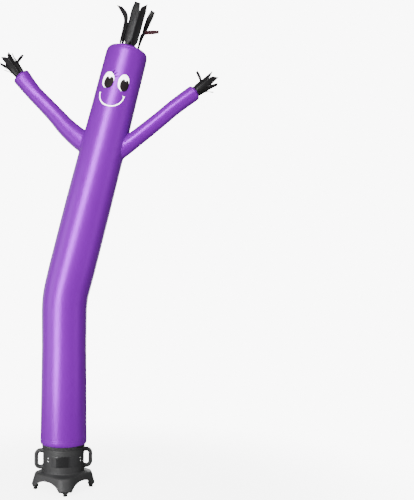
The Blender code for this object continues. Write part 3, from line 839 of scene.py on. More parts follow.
def settle(piece: Object, slot: str, *nodes: str) -> Object:
    """Puts a piece on the body and hides the CAD nodes that it stands for.

    Args:
        piece: The piece.
        slot: The record's material slot; not used.
        *nodes: The CAD nodes that it replaces.

    Returns:
        The piece.
    """
    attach(piece, BODY)
    if nodes:
        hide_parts(*nodes)
    size = ", ".join(f"{part:.3f}" for part in piece.dimensions)
    log.info("%s: %d faces, %s m", piece.name, len(piece.data.polygons), size)
    return piece


def flatten(piece: Object) -> None:
    """Turns a piece's modifiers into its plain mesh.

    Args:
        piece: The piece.
    """
    bpy.context.view_layer.update()
    evaluated = piece.evaluated_get(bpy.context.evaluated_depsgraph_get())
    mesh = bpy.data.meshes.new_from_object(evaluated)
    mesh.name = piece.name
    piece.modifiers.clear()
    piece.data = mesh


def step(piece: Object, kind: str, **settings: object) -> None:
    """Adds a modifier."""
    made = piece.modifiers.new(kind.lower(), kind)
    for key, value in settings.items():
        setattr(made, key, value)


def thicken(piece: Object, thickness: float, offset: float = -1.0) -> None:
    """Gives a sheet its thickness."""
    step(piece, "SOLIDIFY", thickness=thickness, offset=offset)
    flatten(piece)


def cloth(
    name: str, skin: Skin, finish: Material, place: Matrix, keep: Optional[ndarray] = None
) -> Object:
    """A piece of sewn cloth.

    Args:
        name: The piece's name.
        skin: Its outer face.
        finish: The nylon.
        place: Where it goes.
        keep: Which of the faces are kept, by row and column.

    Returns:
        The piece.
    """
    piece = add(name, skin.mesh(name, keep), finish)
    thicken(piece, CLOTH)
    moved(piece.data, place)
    return piece


def joined(pieces: Sequence[Object]) -> Object:
    """Joins pieces into the first.

    Args:
        pieces: The pieces.

    Returns:
        The first one.
    """
    chosen = {"selected_objects": list(pieces), "selected_editable_objects": list(pieces)}
    with bpy.context.temp_override(active_object=pieces[0], object=pieces[0], **chosen):
        bpy.ops.object.join()
    return pieces[0]


def cut(piece: Object, cutters: Sequence[Object]) -> None:
    """Cuts shapes out of a piece and takes them away.

    Args:
        piece: The piece.
        cutters: The shapes.
    """
    for cutter in cutters:
        step(piece, "BOOLEAN", operation="DIFFERENCE", object=cutter)
    flatten(piece)
    for cutter in cutters:
        bpy.data.objects.remove(cutter, do_unlink=True)


class Tree:
    """A Geometry Nodes tree that turns lines or points into a piece's mesh."""

    def __init__(self, name: str, **sizes: float) -> None:
        """Makes the tree.

        Args:
            name: Its name.
            **sizes: Its named number inputs.
        """
        self.tree = bpy.data.node_groups.new(name, "GeometryNodeTree")
        face = self.tree.interface
        face.new_socket("Geometry", in_out="INPUT", socket_type="NodeSocketGeometry")
        self.sizes = {}
        for key, value in sizes.items():
            socket = face.new_socket(key, in_out="INPUT", socket_type="NodeSocketFloat")
            self.sizes[socket.identifier] = value
        face.new_socket("Geometry", in_out="OUTPUT", socket_type="NodeSocketGeometry")
        self.given = self.tree.nodes.new("NodeGroupInput").outputs

    def node(self, kind: str, inputs: dict, **settings: object) -> NodeSocket:
        """Adds a node."""
        full = kind if "Node" in kind else "GeometryNode" + kind
        return add_node(self.tree, full, settings, inputs).outputs[0]

    def facing(self, way: NodeSocket) -> NodeSocket:
        """The rotation that turns +Z a way."""
        return self.node("FunctionNodeAlignRotationToVector", {"Vector": way}, axis="Z")

    def run(
        self, shapes: NodeSocket, finish: Material, name: str,
        points: Sequence[Sequence[float]], edges: Sequence[tuple[int, int]] = (),
    ) -> Object:
        """Realizes the shapes, sets their finish and runs the tree.

        Args:
            shapes: The geometry.
            finish: Its material.
            name: The new piece's name.
            points: The points that the tree starts from.
            edges: The edges between them.

        Returns:
            The piece, a plain smooth mesh.
        """
        plain = self.node("RealizeInstances", {"Geometry": shapes})
        dressed = self.node("SetMaterial", {"Geometry": plain, "Material": finish})
        add_node(self.tree, "NodeGroupOutput", {}, {0: dressed})
        mesh = bpy.data.meshes.new(name)
        mesh.from_pydata(points, edges, [])
        piece = add(name, mesh)
        made = piece.modifiers.new("tree", "NODES")
        made.node_group = self.tree
        for identifier, value in self.sizes.items():
            made[identifier] = value
        flatten(piece)
        piece.data.shade_smooth()
        return piece


@dataclass
class Lines:
    """Open or closed lines of points, each joined by edges."""

    points: list[Sequence[float]] = field(default_factory=list)
    edges: list[tuple[int, int]] = field(default_factory=list)

    def along(self, line: ndarray, closed: bool = False) -> None:
        """Adds a line.

        Args:
            line: Its points, already in place.
            closed: Whether it is a ring.
        """
        first, count = len(self.points), len(line)
        self.points.extend(line.tolist())
        self.edges.extend((first + i, first + i + 1) for i in range(count - 1))
        if closed:
            self.edges.append((first + count - 1, first))


@dataclass
class Stitching(Lines):
    """Rows of lockstitch, each laid along a line on the cloth."""

    pitch: float = 0.0072
    length: float = 0.0046
    thickness: float = 0.0011

    def make(self, name: str, finish: Material) -> Object:
        """Makes every stitch.

        Args:
            name: The piece's name.
            finish: The thread.

        Returns:
            The piece.
        """
        sizes = {"Pitch": self.pitch, "Length": self.length, "Thickness": self.thickness}
        tree = Tree("stitch_rows", **sizes)
        curve = tree.node("MeshToCurve", {"Mesh": tree.given["Geometry"]})
        spaced = {"Curve": curve, "Length": tree.given["Pitch"]}
        rows = tree.node("ResampleCurve", spaced, mode="LENGTH")
        turn = tree.facing(tree.node("InputTangent", {}))
        ball = tree.node("MeshUVSphere", {"Segments": 6, "Rings": 4, "Radius": 0.5})
        thick, long = tree.given["Thickness"], tree.given["Length"]
        size = tree.node("ShaderNodeCombineXYZ", {"X": thick, "Y": thick, "Z": long})
        laid = {"Points": rows, "Instance": ball, "Rotation": turn, "Scale": size}
        stitches = tree.node("InstanceOnPoints", laid)
        return tree.run(stitches, finish, name, self.points, self.edges)


# --- the dancer's cloth ---


def drawn_in(off: Reals, draw: Pair) -> Reals:
    """How much narrower a tube is near the seam that draws its end in."""
    depth, reach = draw
    share = np.clip(1.0 - off / reach, 0.0, 1.0)
    return depth * (1.0 - np.sqrt(1.0 - share * share))


class Sleeve:
    """What the trunk and the arms share: cloth round a middle line, in the dancer's axes."""

    def axes(self, along: ndarray) -> tuple[ndarray, ndarray, ndarray, ndarray]:
        """The middle line there."""
        raise NotImplementedError

    def surface(self, along: ndarray, around: ndarray, lift: Reals = 0.0) -> ndarray:
        """Points on the cloth.

        Args:
            along: Distances from the line's start.
            around: Angles round it, 0 towards +X.
            lift: How far off the cloth.

        Returns:
            The points.
        """
        along, around = np.broadcast_arrays(along, around)
        point, first, second, radius = self.axes(along)
        cos, sin = np.cos(around)[..., None], np.sin(around)[..., None]
        return point + (radius + lift)[..., None] * (first * cos + second * sin)

    def sew(self, stitches: Stitching, along: ndarray, around: ndarray, relief: ndarray) -> None:
        """Lays a row of stitches on the cloth."""
        stitches.along(placed(DANCER, self.surface(along, around, relief + STITCH_LIFT)))


@dataclass
class Trunk(Sleeve):
    """The upright tube that bends and leans, sewn up its back.

    Distances are from its hem. The girths are places along it and its width there, and the
    spans are where rows of points start and end, and the step between them.
    """

    hem_height: float = 0.298
    upright: float = 0.862
    bend: float = 0.245
    lean: float = math.radians(14.6)
    length: float = 2.778
    girths: tuple[Pair, ...] = (
        (0.000, 0.3115), (0.026, 0.3115), (0.150, 0.3090), (0.640, 0.3030), (1.200, 0.3190),
        (1.650, 0.3185), (2.000, 0.3120), (2.350, 0.3000), (2.728, 0.2920), (2.778, 0.2915),
    )
    spans: tuple[Triple, ...] = (
        (0.000, 0.048, 0.0016), (0.048, 0.120, 0.006), (0.120, 0.840, 0.018),
        (0.840, 1.140, 0.009), (1.140, 1.980, 0.018), (1.980, 2.330, 0.0075),
        (2.330, 2.700, 0.015), (2.700, 2.778, 0.0024),
    )
    columns: int = 120
    fine: float = 0.0005
    closer: Pair = (0.6, 0.35)  # How much closer the columns are at the seam, and how far.
    hem_draw: Pair = (0.0062, 0.026)
    crown_draw: Pair = (0.0118, 0.050)
    hem_rows: Pair = (0.030, 0.042)
    crown_row: float = 0.013
    seam_at: float = math.radians(90.0)
    seam_radius: float = 0.15
    flat_radius: float = 0.155
    hem_gather: Swell = Swell(0.0006, 0.045)
    hem_edge: float = 0.02
    hem_fold: float = 0.0005
    hem_stitch: Swell = Swell(0.0007, 0.0030)
    crown_pucker: Swell = Swell(0.0012, 0.016)
    crown_stitch: Swell = Swell(0.0014, 0.0045)
    seam_ridge: Swell = Swell(0.0016, 0.007)
    seam_dip: Swell = Swell(0.0012, 0.009)
    seam_dip_at: float = 0.012
    seam_pulls: Pair = (83.0, 31.0)
    seam_pull: float = 0.25
    seam_row: float = 0.0045
    seam_run: Pair = (0.05, 0.02)  # Where its stitches start, and how far from the top they end.
    seam_points: int = 240
    seam_dark: Swell = Swell(1.0, 0.010)
    row_dark: Swell = Swell(1.0, 0.006)
    bend_fold: Swell = Swell(0.0013, 0.17)
    bend_start: float = 0.90
    bend_middle: float = 1.00
    bend_waves: float = 62.0
    bend_drift: float = 0.7
    sag: Swell = Swell(0.0012, 1.3)
    sag_middle: float = 1.4
    hem_waves: tuple[int, ...] = (3, 16, 34)  # The seed, and the fewest and the most waves.
    crown_waves: tuple[int, ...] = (11, 22, 46)
    sag_waves: tuple[int, ...] = (5, 1, 3, 4)
    sag_drift: float = 3.1
    arm_pull: Pull = Pull(0.0014, 0.0007, 0.035, 0.006)
    arm_welt: Swell = Swell(0.0020, 0.010)
    arm_overlap: float = 0.009

    def __post_init__(self) -> None:
        """Adds up the middle line in steps of half a millimetre."""
        self.steps = np.linspace(0.0, self.length, round(self.length / self.fine) + 1)
        angle = self.lean_at((self.steps[1:] + self.steps[:-1]) / 2)
        self.line = [
            start + np.concatenate([[0.0], np.cumsum(part) * self.steps[1]])
            for start, part in ((0.0, np.sin(angle)), (self.hem_height, np.cos(angle)))
        ]

    def lean_at(self, along: ndarray) -> ndarray:
        """How far the tube leans."""
        return self.lean * eased((along - self.upright) / self.bend)

    def middle(self, along: Reals) -> ndarray:
        """The middle line's points."""
        x, z = (np.interp(along, self.steps, part) for part in self.line)
        return np.stack([x, 0.0 * x, z], -1)

    def radius(self, along: Reals) -> Reals:
        """The cloth's radius, drawn in at the hem and at the crown."""
        plain = np.interp(along, *np.array(self.girths).T) / 2
        plain = plain - drawn_in(along, self.hem_draw)
        return plain - drawn_in(self.length - along, self.crown_draw) + FULLER

    def axes(self, along: ndarray) -> tuple[ndarray, ndarray, ndarray, ndarray]:
        """The middle line there."""
        lean = self.lean_at(along)
        first = np.stack([np.cos(lean), 0.0 * lean, -np.sin(lean)], -1)
        return self.middle(along), first, np.array(BACK), self.radius(along)

    def axis(self) -> Triple:
        """The way that the leaning part runs."""
        return math.sin(self.lean), 0.0, math.cos(self.lean)

    def end(self) -> Matrix:
        """The matrix that stands on the tube's top."""
        return standing_on(self.middle(self.length), self.axis())

    def rows(self) -> ndarray:
        """Distances from the hem at which the cloth has a row of points."""
        parts = [np.linspace(a, b, round((b - a) / gap) + 1)[:-1] for a, b, gap in self.spans]
        return np.concatenate([*parts, [self.length]])

    def relief(self, along: ndarray, around: ndarray, arms: Sequence["Arm"] = ()) -> ndarray:
        """How far the cloth stands off its plain shape: gathers, seams and soft creases.

        Args:
            along: Distances from the hem.
            around: Angles round the tube.
            arms: The arms that are sewn on.

        Returns:
            The offsets, in metres.
        """
        low, high = self.hem_rows
        top = self.length - along
        gather, pucker = Ripple(*self.hem_waves).at(around), Ripple(*self.crown_waves).at(around)
        off = self.hem_gather.fading(along - low) * gather * eased(along / self.hem_edge)
        for row in self.hem_rows:
            off = off - self.hem_stitch.bump(along, row)
        off = off + Swell(self.hem_fold, (high - low) / 2).bump(along, (low + high) / 2)
        off = off + self.crown_pucker.fading(abs(top - self.crown_row)) * pucker
        off = off - self.crown_stitch.bump(top, self.crown_row)
        seam = angle_off(around, self.seam_at) * self.seam_radius
        fast, slow = self.seam_pulls
        pull = 1.0 + self.seam_pull * np.sin(along * fast) * np.sin(along * slow + 1.0)
        off = off + self.seam_ridge.bump(seam) * pull
        off = off - self.seam_dip.bump(abs(seam), self.seam_dip_at)
        inner = np.clip(np.cos(around), 0.0, 1.0) ** 2
        drift = self.bend_drift * np.sin(around * 2.0)
        fold = np.sin((along - self.bend_start) * self.bend_waves + drift)
        fold = np.clip(fold, 0.0, 1.0) * self.bend_fold.bump(along, self.bend_middle)
        off = off - inner * fold
        sag = Ripple(*self.sag_waves).at(around, along * self.sag_drift)
        off = off + sag * self.sag.bump(along, self.sag_middle)
        points = self.surface(along, around)
        for arm in arms:
            distance, turn = arm.from_root(points)
            distance = np.maximum(distance, 0.0)
            off = off + self.arm_pull.at(Ripple(arm.seed, *arm.root_waves).at(turn), distance)
            off = off + self.arm_welt.fading(distance)
        return off

    def make(self, arms: Sequence["Arm"], finish: Material, stitches: Stitching) -> Object:
        """Makes the tube's cloth.

        Args:
            arms: The arms, whose holes are cut.
            finish: The nylon.
            stitches: Takes the tube's seams.

        Returns:
            The piece.
        """
        around = full_turn(self.columns)
        off = angle_off(around, self.seam_at)
        share, reach = self.closer
        around = around - share * np.exp(-((off / reach) ** 2)) * off
        along, turn = np.meshgrid(self.rows(), around, indexing="ij")
        plain = self.surface(along, turn)
        points = self.surface(along, turn, self.relief(along, turn, arms))
        flat = np.stack([angle_off(turn, self.seam_at - math.pi) * self.flat_radius, along], -1)
        seam = self.seam_dark.bump(angle_off(turn, self.seam_at) * self.seam_radius)
        for row in (*self.hem_rows, self.length - self.crown_row):
            seam = np.maximum(seam, self.row_dark.bump(along, row))
        keep = np.ones((len(along) - 1, self.columns), bool)
        for arm in arms:
            seam = np.maximum(seam, self.row_dark.fading(arm.from_root(plain)[0]))
            inside, _ = arm.from_root((plain[1:, 1:] + plain[:-1, :-1]) / 2)
            keep &= inside > -self.arm_overlap
        skin = Skin(points[:, :-1], flat, {"seam": seam[:, :-1]}, closed=True)
        piece = cloth("trunk_cloth", skin, finish, DANCER, keep)
        around = full_turn(180)
        for row in (*self.hem_rows, self.length - self.crown_row):
            along = np.full(len(around), row)
            self.sew(stitches, along, around, self.relief(along, around))
        start, short = self.seam_run
        along = np.linspace(start, self.length - short, self.seam_points)
        for side in Side:
            turn = np.full(len(along), self.seam_at + side.value * self.seam_row / self.seam_radius)
            self.sew(stitches, along, turn, self.relief(along, turn))
        return piece


@dataclass
class Arm(Sleeve):
    """One arm: a tube along a bent line, sewn to the trunk, its cuff drawn in.

    Its rows are points on the middle line, each with the tube's width there.
    """

    side: Side
    trunk: Trunk
    rows: tuple[Row, ...]
    seed: int
    columns: int = 64
    step: float = 0.0052
    cuff_draw: Pair = (0.0062, 0.012)
    cuff_row: float = 0.015
    root_row: float = 0.0065
    seam_row: float = 0.0035
    seam_short: float = 0.02
    seam_points: int = 60
    seam_dark: Swell = Swell(1.0, 0.008)
    row_dark: Swell = Swell(1.0, 0.006)
    leave_by: float = 0.6
    leave_steps: int = 500
    inside: float = 0.0008
    leaning_from: float = 1.3
    root_waves: tuple[int, ...] = (5, 13)
    cuff_waves: tuple[int, ...] = (10, 20)
    sag_waves: tuple[int, ...] = (1, 4, 5)
    seam_radius: float = 0.055
    root_pull: Pull = Pull(0.0014, 0.0004, 0.040, 0.008)
    root_welt: Swell = Swell(0.0030, 0.0045)
    cuff_pucker: Swell = Swell(0.0009, 0.012)
    cuff_stitch: Swell = Swell(0.0011, 0.0040)
    seam_ridge: Swell = Swell(0.0012, 0.006)
    seam_dip: Swell = Swell(0.0007, 0.006)
    seam_dip_at: float = 0.010
    sag: float = 0.0006
    sag_drift: float = 17.0
    sag_ends: Pair = (0.05, 0.04)
    beyond: float = 0.16

    def __post_init__(self) -> None:
        """Smooths the middle line and finds where the arm leaves the trunk."""
        rows = np.array(self.rows)
        padded = np.concatenate([rows[:1], rows, rows[-1:]])
        t = np.linspace(0.0, 1.0, 24, endpoint=False)[:, None]
        fine = []
        for a, b, c, d in zip(padded, padded[1:], padded[2:], padded[3:]):
            square, cube = 2 * a - 5 * b + 4 * c - d, 3 * b - a - 3 * c + d
            fine.append(0.5 * (2 * b + (c - a) * t + square * t**2 + cube * t**3))
        self.line = np.concatenate([*fine, rows[-1:]])
        steps = np.linalg.norm(np.diff(self.line[:, :3], axis=0), axis=1)
        self.run = np.concatenate([[0.0], np.cumsum(steps)])
        self.length = self.run[-1]
        tangent = np.gradient(self.line[:, :3], self.run, axis=0)
        self.tangent = tangent / np.linalg.norm(tangent, axis=1)[:, None]
        self.seam_at = 0.0 if self.side is Side.RIGHT else math.pi
        self.angles = full_turn(self.columns)
        self.starts = self.leave(self.angles)

    def axes(self, along: ndarray) -> tuple[ndarray, ndarray, ndarray, ndarray]:
        """The middle line there.

        Args:
            along: Distances from the line's start.

        Returns:
            Points, two directions across it, the second to the back, and the cloth's radii.
        """
        point, tangent = (
            np.stack([np.interp(along, self.run, table[:, k]) for k in range(3)], -1)
            for table in (self.line, self.tangent)
        )
        tangent /= np.linalg.norm(tangent, axis=-1, keepdims=True)
        second = np.array(BACK) - tangent * tangent[..., 1:2]
        second /= np.linalg.norm(second, axis=-1, keepdims=True)
        radius = np.interp(along, self.run, self.line[:, 3]) / 2
        radius = radius - drawn_in(self.length - along, self.cuff_draw) + FULLER
        return point, np.cross(second, tangent), second, radius

    def off_trunk(self, points: ndarray) -> ndarray:
        """How far points are outside the leaning trunk's cloth.

        Args:
            points: The points.

        Returns:
            Distances, negative inside.
        """
        start = self.leaning_from
        axis = np.array(self.trunk.axis())
        from_start = points - self.trunk.middle(start)
        height = from_start @ axis
        across = np.linalg.norm(from_start - height[..., None] * axis, axis=-1)
        return across - self.trunk.radius(start + height)

    def leave(self, around: ndarray) -> ndarray:
        """Where each lengthwise line of the arm comes out of the trunk.

        Args:
            around: Angles round the arm.

        Returns:
            Distances along the middle line.
        """
        along = np.linspace(0.0, self.leave_by * self.length, self.leave_steps)
        grid, turn = np.meshgrid(along, around, indexing="ij")
        inside = self.off_trunk(self.surface(grid, turn)) < -self.inside
        return along[len(along) - 1 - np.argmax(inside[::-1], axis=0)]

    def from_root(self, points: ndarray) -> tuple[ndarray, ndarray]:
        """How far points on the trunk are outside the arm, and at which angle round it.

        Args:
            points: Points on the trunk.

        Returns:
            Distances, negative inside the arm, and angles.
        """
        point, first, second, radius = self.axes(self.starts.mean())
        from_line = points - point
        ahead = from_line @ np.cross(first, second)
        across, back = from_line @ first, from_line @ second
        distance = np.hypot(across, back) - radius
        distance = np.where(abs(ahead) > self.beyond, math.inf, distance)
        return distance, np.arctan2(back, across)

    def end(self) -> Matrix:
        """The matrix that stands on the arm's end."""
        return standing_on(self.line[-1, :3], self.tangent[-1])

    def relief(self, along: ndarray, around: ndarray, from_start: ndarray) -> ndarray:
        """How far the arm's cloth stands off its plain shape.

        Args:
            along: Distances from the line's start.
            around: Angles round the arm.
            from_start: Distances from the root's seam.

        Returns:
            The offsets, in metres.
        """
        to_end = self.length - along
        off = self.root_pull.at(Ripple(self.seed, *self.root_waves).at(around), from_start)
        off = off + self.root_welt.fading(from_start)
        cuff = Ripple(self.seed + 1, *self.cuff_waves).at(around)
        off = off + cuff * self.cuff_pucker.fading(abs(to_end - self.cuff_row))
        off = off - self.cuff_stitch.bump(to_end, self.cuff_row)
        seam = angle_off(around, self.seam_at) * self.seam_radius
        off = off + self.seam_ridge.bump(seam) - self.seam_dip.bump(abs(seam), self.seam_dip_at)
        wave = Ripple(self.seed + 2, *self.sag_waves).at(around, along * self.sag_drift)
        root, cuff = self.sag_ends
        return off + self.sag * wave * eased(from_start / root) * eased(to_end / cuff)

    def make(self, finish: Material, stitches: Stitching) -> Object:
        """Makes the arm's cloth.

        Args:
            finish: The nylon.
            stitches: Takes the arm's seams.

        Returns:
            The piece.
        """
        even = np.linspace(0.0, 1.0, round((self.length - self.starts.min()) / self.step))
        share = 0.5 * even + 0.5 * eased(even)
        from_start = (self.length - self.starts) * share[:, None]
        along, around = np.broadcast_arrays(self.starts + from_start, self.angles)
        points = self.surface(along, around, self.relief(along, around, from_start))
        across = angle_off(around, self.seam_at + math.pi) * self.seam_radius
        flat = np.stack([across + 1.0, along], -1)
        flat[:, -1, 0] = flat[:, -2, 0] + (flat[:, 1, 0] - flat[:, 0, 0])
        masks = (
            self.row_dark.fading(from_start),
            self.row_dark.bump(self.length - along, self.cuff_row),
            self.seam_dark.bump(angle_off(around, self.seam_at) * self.seam_radius),
        )
        seam = np.maximum.reduce(masks)
        skin = Skin(points[:, :-1], flat, {"seam": seam[:, :-1]}, closed=True)
        piece = cloth(f"{self.side.word}_arm_cloth", skin, finish, DANCER)
        fine = full_turn(90)
        starts = np.interp(fine, self.angles, self.starts)
        for along in (starts + self.root_row, np.full(len(fine), self.length - self.cuff_row)):
            self.sew(stitches, along, fine, self.relief(along, fine, along - starts))
        middle = (self.starts.max() + self.starts.min()) / 2
        short = self.seam_short
        along = np.linspace(middle + short, self.length - short, self.seam_points)
        turn = np.full(len(along), self.seam_at + self.seam_row / self.seam_radius)
        self.sew(stitches, along, turn, self.relief(along, turn, along))
        return piece


@dataclass
class EndPanel:
    """A round panel that closes a tube's end, gathered into its seam, with a hemmed vent."""

    name: str
    place: Matrix
    outer: float
    vent: float
    rise: float
    seed: int
    hem: float = 0.009
    columns: int = 144
    rows: int = 26
    gather: float = 0.0016
    pull: Swell = Swell(0.0009, 0.010)
    fold: float = 0.0010
    over: float = 0.0005
    gather_share: float = 0.12
    gather_waves: tuple[int, ...] = (16, 34)
    pull_waves: tuple[int, ...] = (9, 18)
    calm_edge: float = 0.002
    edge_dark: Swell = Swell(1.0, 0.004)
    hem_dark: Swell = Swell(1.0, 0.003)
    row_in: float = 0.0015
    row_over: float = 0.0004

    def height(self, radius: Reals) -> Reals:
        """The bulge's height."""
        return self.rise * (1.0 - (radius / self.outer) ** 2) + CLOTH + self.over

    def relief(self, angle: ndarray, radius: ndarray) -> ndarray:
        """Gathers at the outer seam and pulls at the vent's hem.

        Args:
            angle: Where round the panel.
            radius: Distances from the middle.

        Returns:
            What is added to the height.
        """
        gathers = Ripple(self.seed, *self.gather_waves).at(angle)
        pulls = Ripple(self.seed + 1, *self.pull_waves).at(angle)
        gather = Swell(self.gather, self.gather_share * self.outer)
        up = gathers * gather.fading(self.outer - radius)
        up = up + pulls * self.pull.fading(radius - self.vent)
        up = up + Swell(self.fold, self.hem / 2).bump(radius, self.vent + self.hem / 2)
        return up * eased((self.outer - radius) / self.calm_edge)

    def make(self, finish: Material, stitches: Stitching) -> Object:
        """Makes the panel.

        Args:
            finish: The nylon.
            stitches: Takes the vent's hem.

        Returns:
            The piece.
        """
        radius = np.linspace(self.outer, self.vent, self.rows)
        skin = lathe(np.stack([radius, self.height(radius)], 1), self.columns, self.relief)
        hem_row = self.vent + self.hem
        seam = self.edge_dark.bump(radius, self.outer)
        seam = np.maximum(seam, self.hem_dark.bump(radius, hem_row))
        skin.masks["seam"] = np.repeat(seam[:, None], self.columns, 1)
        piece = cloth(self.name, skin, finish, self.place)
        angle = full_turn(119)
        row = np.full(len(angle), hem_row - self.row_in)
        height = self.height(row) + self.relief(angle, row) + self.row_over
        stitches.along(placed(self.place, around_z(row, angle, height)))
        return piece


# --- ribbons ---


@dataclass(frozen=True)
class Ribbon:
    """One ribbon: where round its ring it starts, its size, and how it leans, bends and twists.

    Angles are in degrees; the bend starts at a share of the length.
    """

    around: float
    length: float
    width: float
    splay: float
    bend_at: float
    bend: float
    twist: float
    slant: float = 0.0
    dyed: float = 0.0


HAIR = (
    Ribbon(-141, 0.290, 0.040, 0, 0.52, 60, 25, -0.8),
    Ribbon(150, 0.205, 0.022, 3, 0.50, -4, -20),
    Ribbon(108, 0.300, 0.050, -4, 0.50, 4, 15, 0.6),
    Ribbon(20, 0.312, 0.046, 5, 0.50, 6, 70),
    Ribbon(-8, 0.232, 0.027, 2, 0.32, 80, -60, 0.0, 0.7),
    Ribbon(-52, 0.292, 0.054, 3, 0.55, 5, 8, 0.7),
    Ribbon(-90, 0.310, 0.060, 0, 0.40, 0, -8, -0.5),
)
HAND = (
    Ribbon(62, 0.150, 0.038, 6, 0.50, 4, 15, 0.6),
    Ribbon(15, 0.162, 0.042, 3, 0.50, 6, -20, -0.5),
    Ribbon(-32, 0.145, 0.034, 3, 0.50, 16, 20, 0.7),
    Ribbon(-76, 0.110, 0.020, 8, 0.35, 30, 0),
    Ribbon(-120, 0.146, 0.024, 5, 0.40, 24, -25, -0.6),
    Ribbon(-164, 0.160, 0.042, 2, 0.50, 8, 15, 0.8),
    Ribbon(148, 0.158, 0.038, 4, 0.50, 5, -15, -0.7),
    Ribbon(104, 0.142, 0.024, 0, 0.32, 82, 45),
)


def hand_ribbons(side: Side) -> tuple[Ribbon, ...]:
    """A hand's ribbons, mirrored for the left one.

    Args:
        side: Which hand.

    Returns:
        The ribbons.
    """
    sign = side.value
    return tuple(
        replace(row, around=90 + row.around * sign, twist=row.twist * sign, slant=row.slant * sign)
        for row in HAND
    )


@dataclass
class RibbonBunch:
    """A ring of folded tape in a vent, with satin ribbons sewn into it."""

    name: str
    place: Matrix
    vent: float
    seat: float
    ribbons: tuple[Ribbon, ...]
    seed: int
    wall: float = 0.003
    gap: float = 0.0005
    ring: Pair = (-0.010, 0.006)
    ring_edge: float = 0.0010
    root: float = 0.001
    thickness: float = 0.0020
    bend_share: float = 0.35
    root_share: float = 0.15
    tip_share: float = 0.2
    tip_narrower: float = 0.25
    slant_drift: float = 0.3
    cup: float = 0.09
    cup_middle: float = 0.7
    cup_drift: Triple = (0.4, 0.6, 4.0)
    wave: Triple = (0.0016, 9.0, 3.0)
    flutter: Triple = (0.0012, 14.0, 5.0)
    firm_edge: float = 0.8
    dyed_from: float = 0.55
    rows: int = 44
    columns: int = 8

    def ribbon(self, ribbon: Ribbon, number: int) -> Skin:
        """One ribbon's cloth, cupped and a little uneven, its tip cut on a slant.

        Args:
            ribbon: The ribbon.
            number: Makes it differ from the others.

        Returns:
            The skin.
        """
        draw = np.random.default_rng(self.seed + number)
        sway, cup = draw.uniform(-1, 1), draw.choice((-1.0, 1.0)) * self.cup * ribbon.width
        slant = ribbon.slant + draw.uniform(-self.slant_drift, self.slant_drift)
        share = np.linspace(0.0, 1.0, self.rows + 1)[:, None, None]
        u = np.linspace(-1.0, 1.0, self.columns)[:, None]
        up, radial = np.array(UP), around_z(1.0, math.radians(ribbon.around), 0.0)
        across = np.cross(up, radial)
        rooted = eased(share / self.root_share)
        bent = eased((share - ribbon.bend_at) / self.bend_share)
        pitch = np.radians(ribbon.splay * rooted + ribbon.bend * bent)
        heading = up * np.cos(pitch) + radial * np.sin(pitch)
        twist = np.radians(ribbon.twist * eased(share))
        side = across * np.cos(twist) + np.cross(heading, across) * np.sin(twist)
        middle = radial * (self.vent - self.gap - self.wall / 2) + up * (self.seat + self.root)
        middle = middle + (np.cumsum(heading, axis=0) - heading) * ribbon.length / self.rows
        trimmed = 1.0 - self.tip_narrower * eased(1.0 - (1.0 - share) / self.tip_share)
        half = ribbon.width * (0.5 + 0.5 * rooted) * trimmed / 2
        least, more, speed = self.cup_drift
        bow = cup * (self.cup_middle - u * u) * (least + more * np.sin(1.5 + speed * share * sway))
        size, turns, shift = self.wave
        wave = size * np.sin(share * turns + shift * sway) * share
        size, turns, shift = self.flutter
        flutter = size * u * np.sin(share * turns + sway * shift) * share
        drift = np.cross(heading, side) * (bow + wave + flutter)
        points = middle + side * half * u + drift + heading * (slant * half * u * share**8)
        places = np.broadcast_arrays(u * ribbon.width / 2 + number, share * ribbon.length)
        edge, dyed = abs(u) > self.firm_edge, ribbon.dyed * (share > self.dyed_from)
        edge, dyed = np.broadcast_arrays(edge, dyed)
        return Skin(points, np.concatenate(places, -1), {"edge": edge, "dyed": dyed})

    def make(self, finish: Material) -> Object:
        """Makes the ring and its ribbons.

        Args:
            finish: The satin.

        Returns:
            The piece.
        """
        outer, soft = self.vent - self.gap, self.ring_edge
        inner = outer - self.wall
        bottom, top = (self.seat + off for off in self.ring)
        profile = [
            (outer - soft, bottom), (outer, bottom + soft), (outer, top - soft),
            (outer - soft, top), (inner + soft, top), (inner, top - soft),
            (inner, bottom + soft), (inner + soft, bottom), (outer - soft, bottom),
        ]
        ring = lathe(profile, 96)
        ring.masks["edge"] = np.zeros(ring.points.shape[:2])
        pieces = [add(self.name, ring.mesh(self.name), finish)]
        for number, ribbon in enumerate(self.ribbons):
            mesh = self.ribbon(ribbon, number).mesh(f"strand_{number}")
            pieces.append(add(f"{self.name}_{number}", mesh, finish))
            thicken(pieces[-1], self.thickness, 0.0)
        piece = joined(pieces)
        moved(piece.data, self.place)
        return piece


# --- face ---


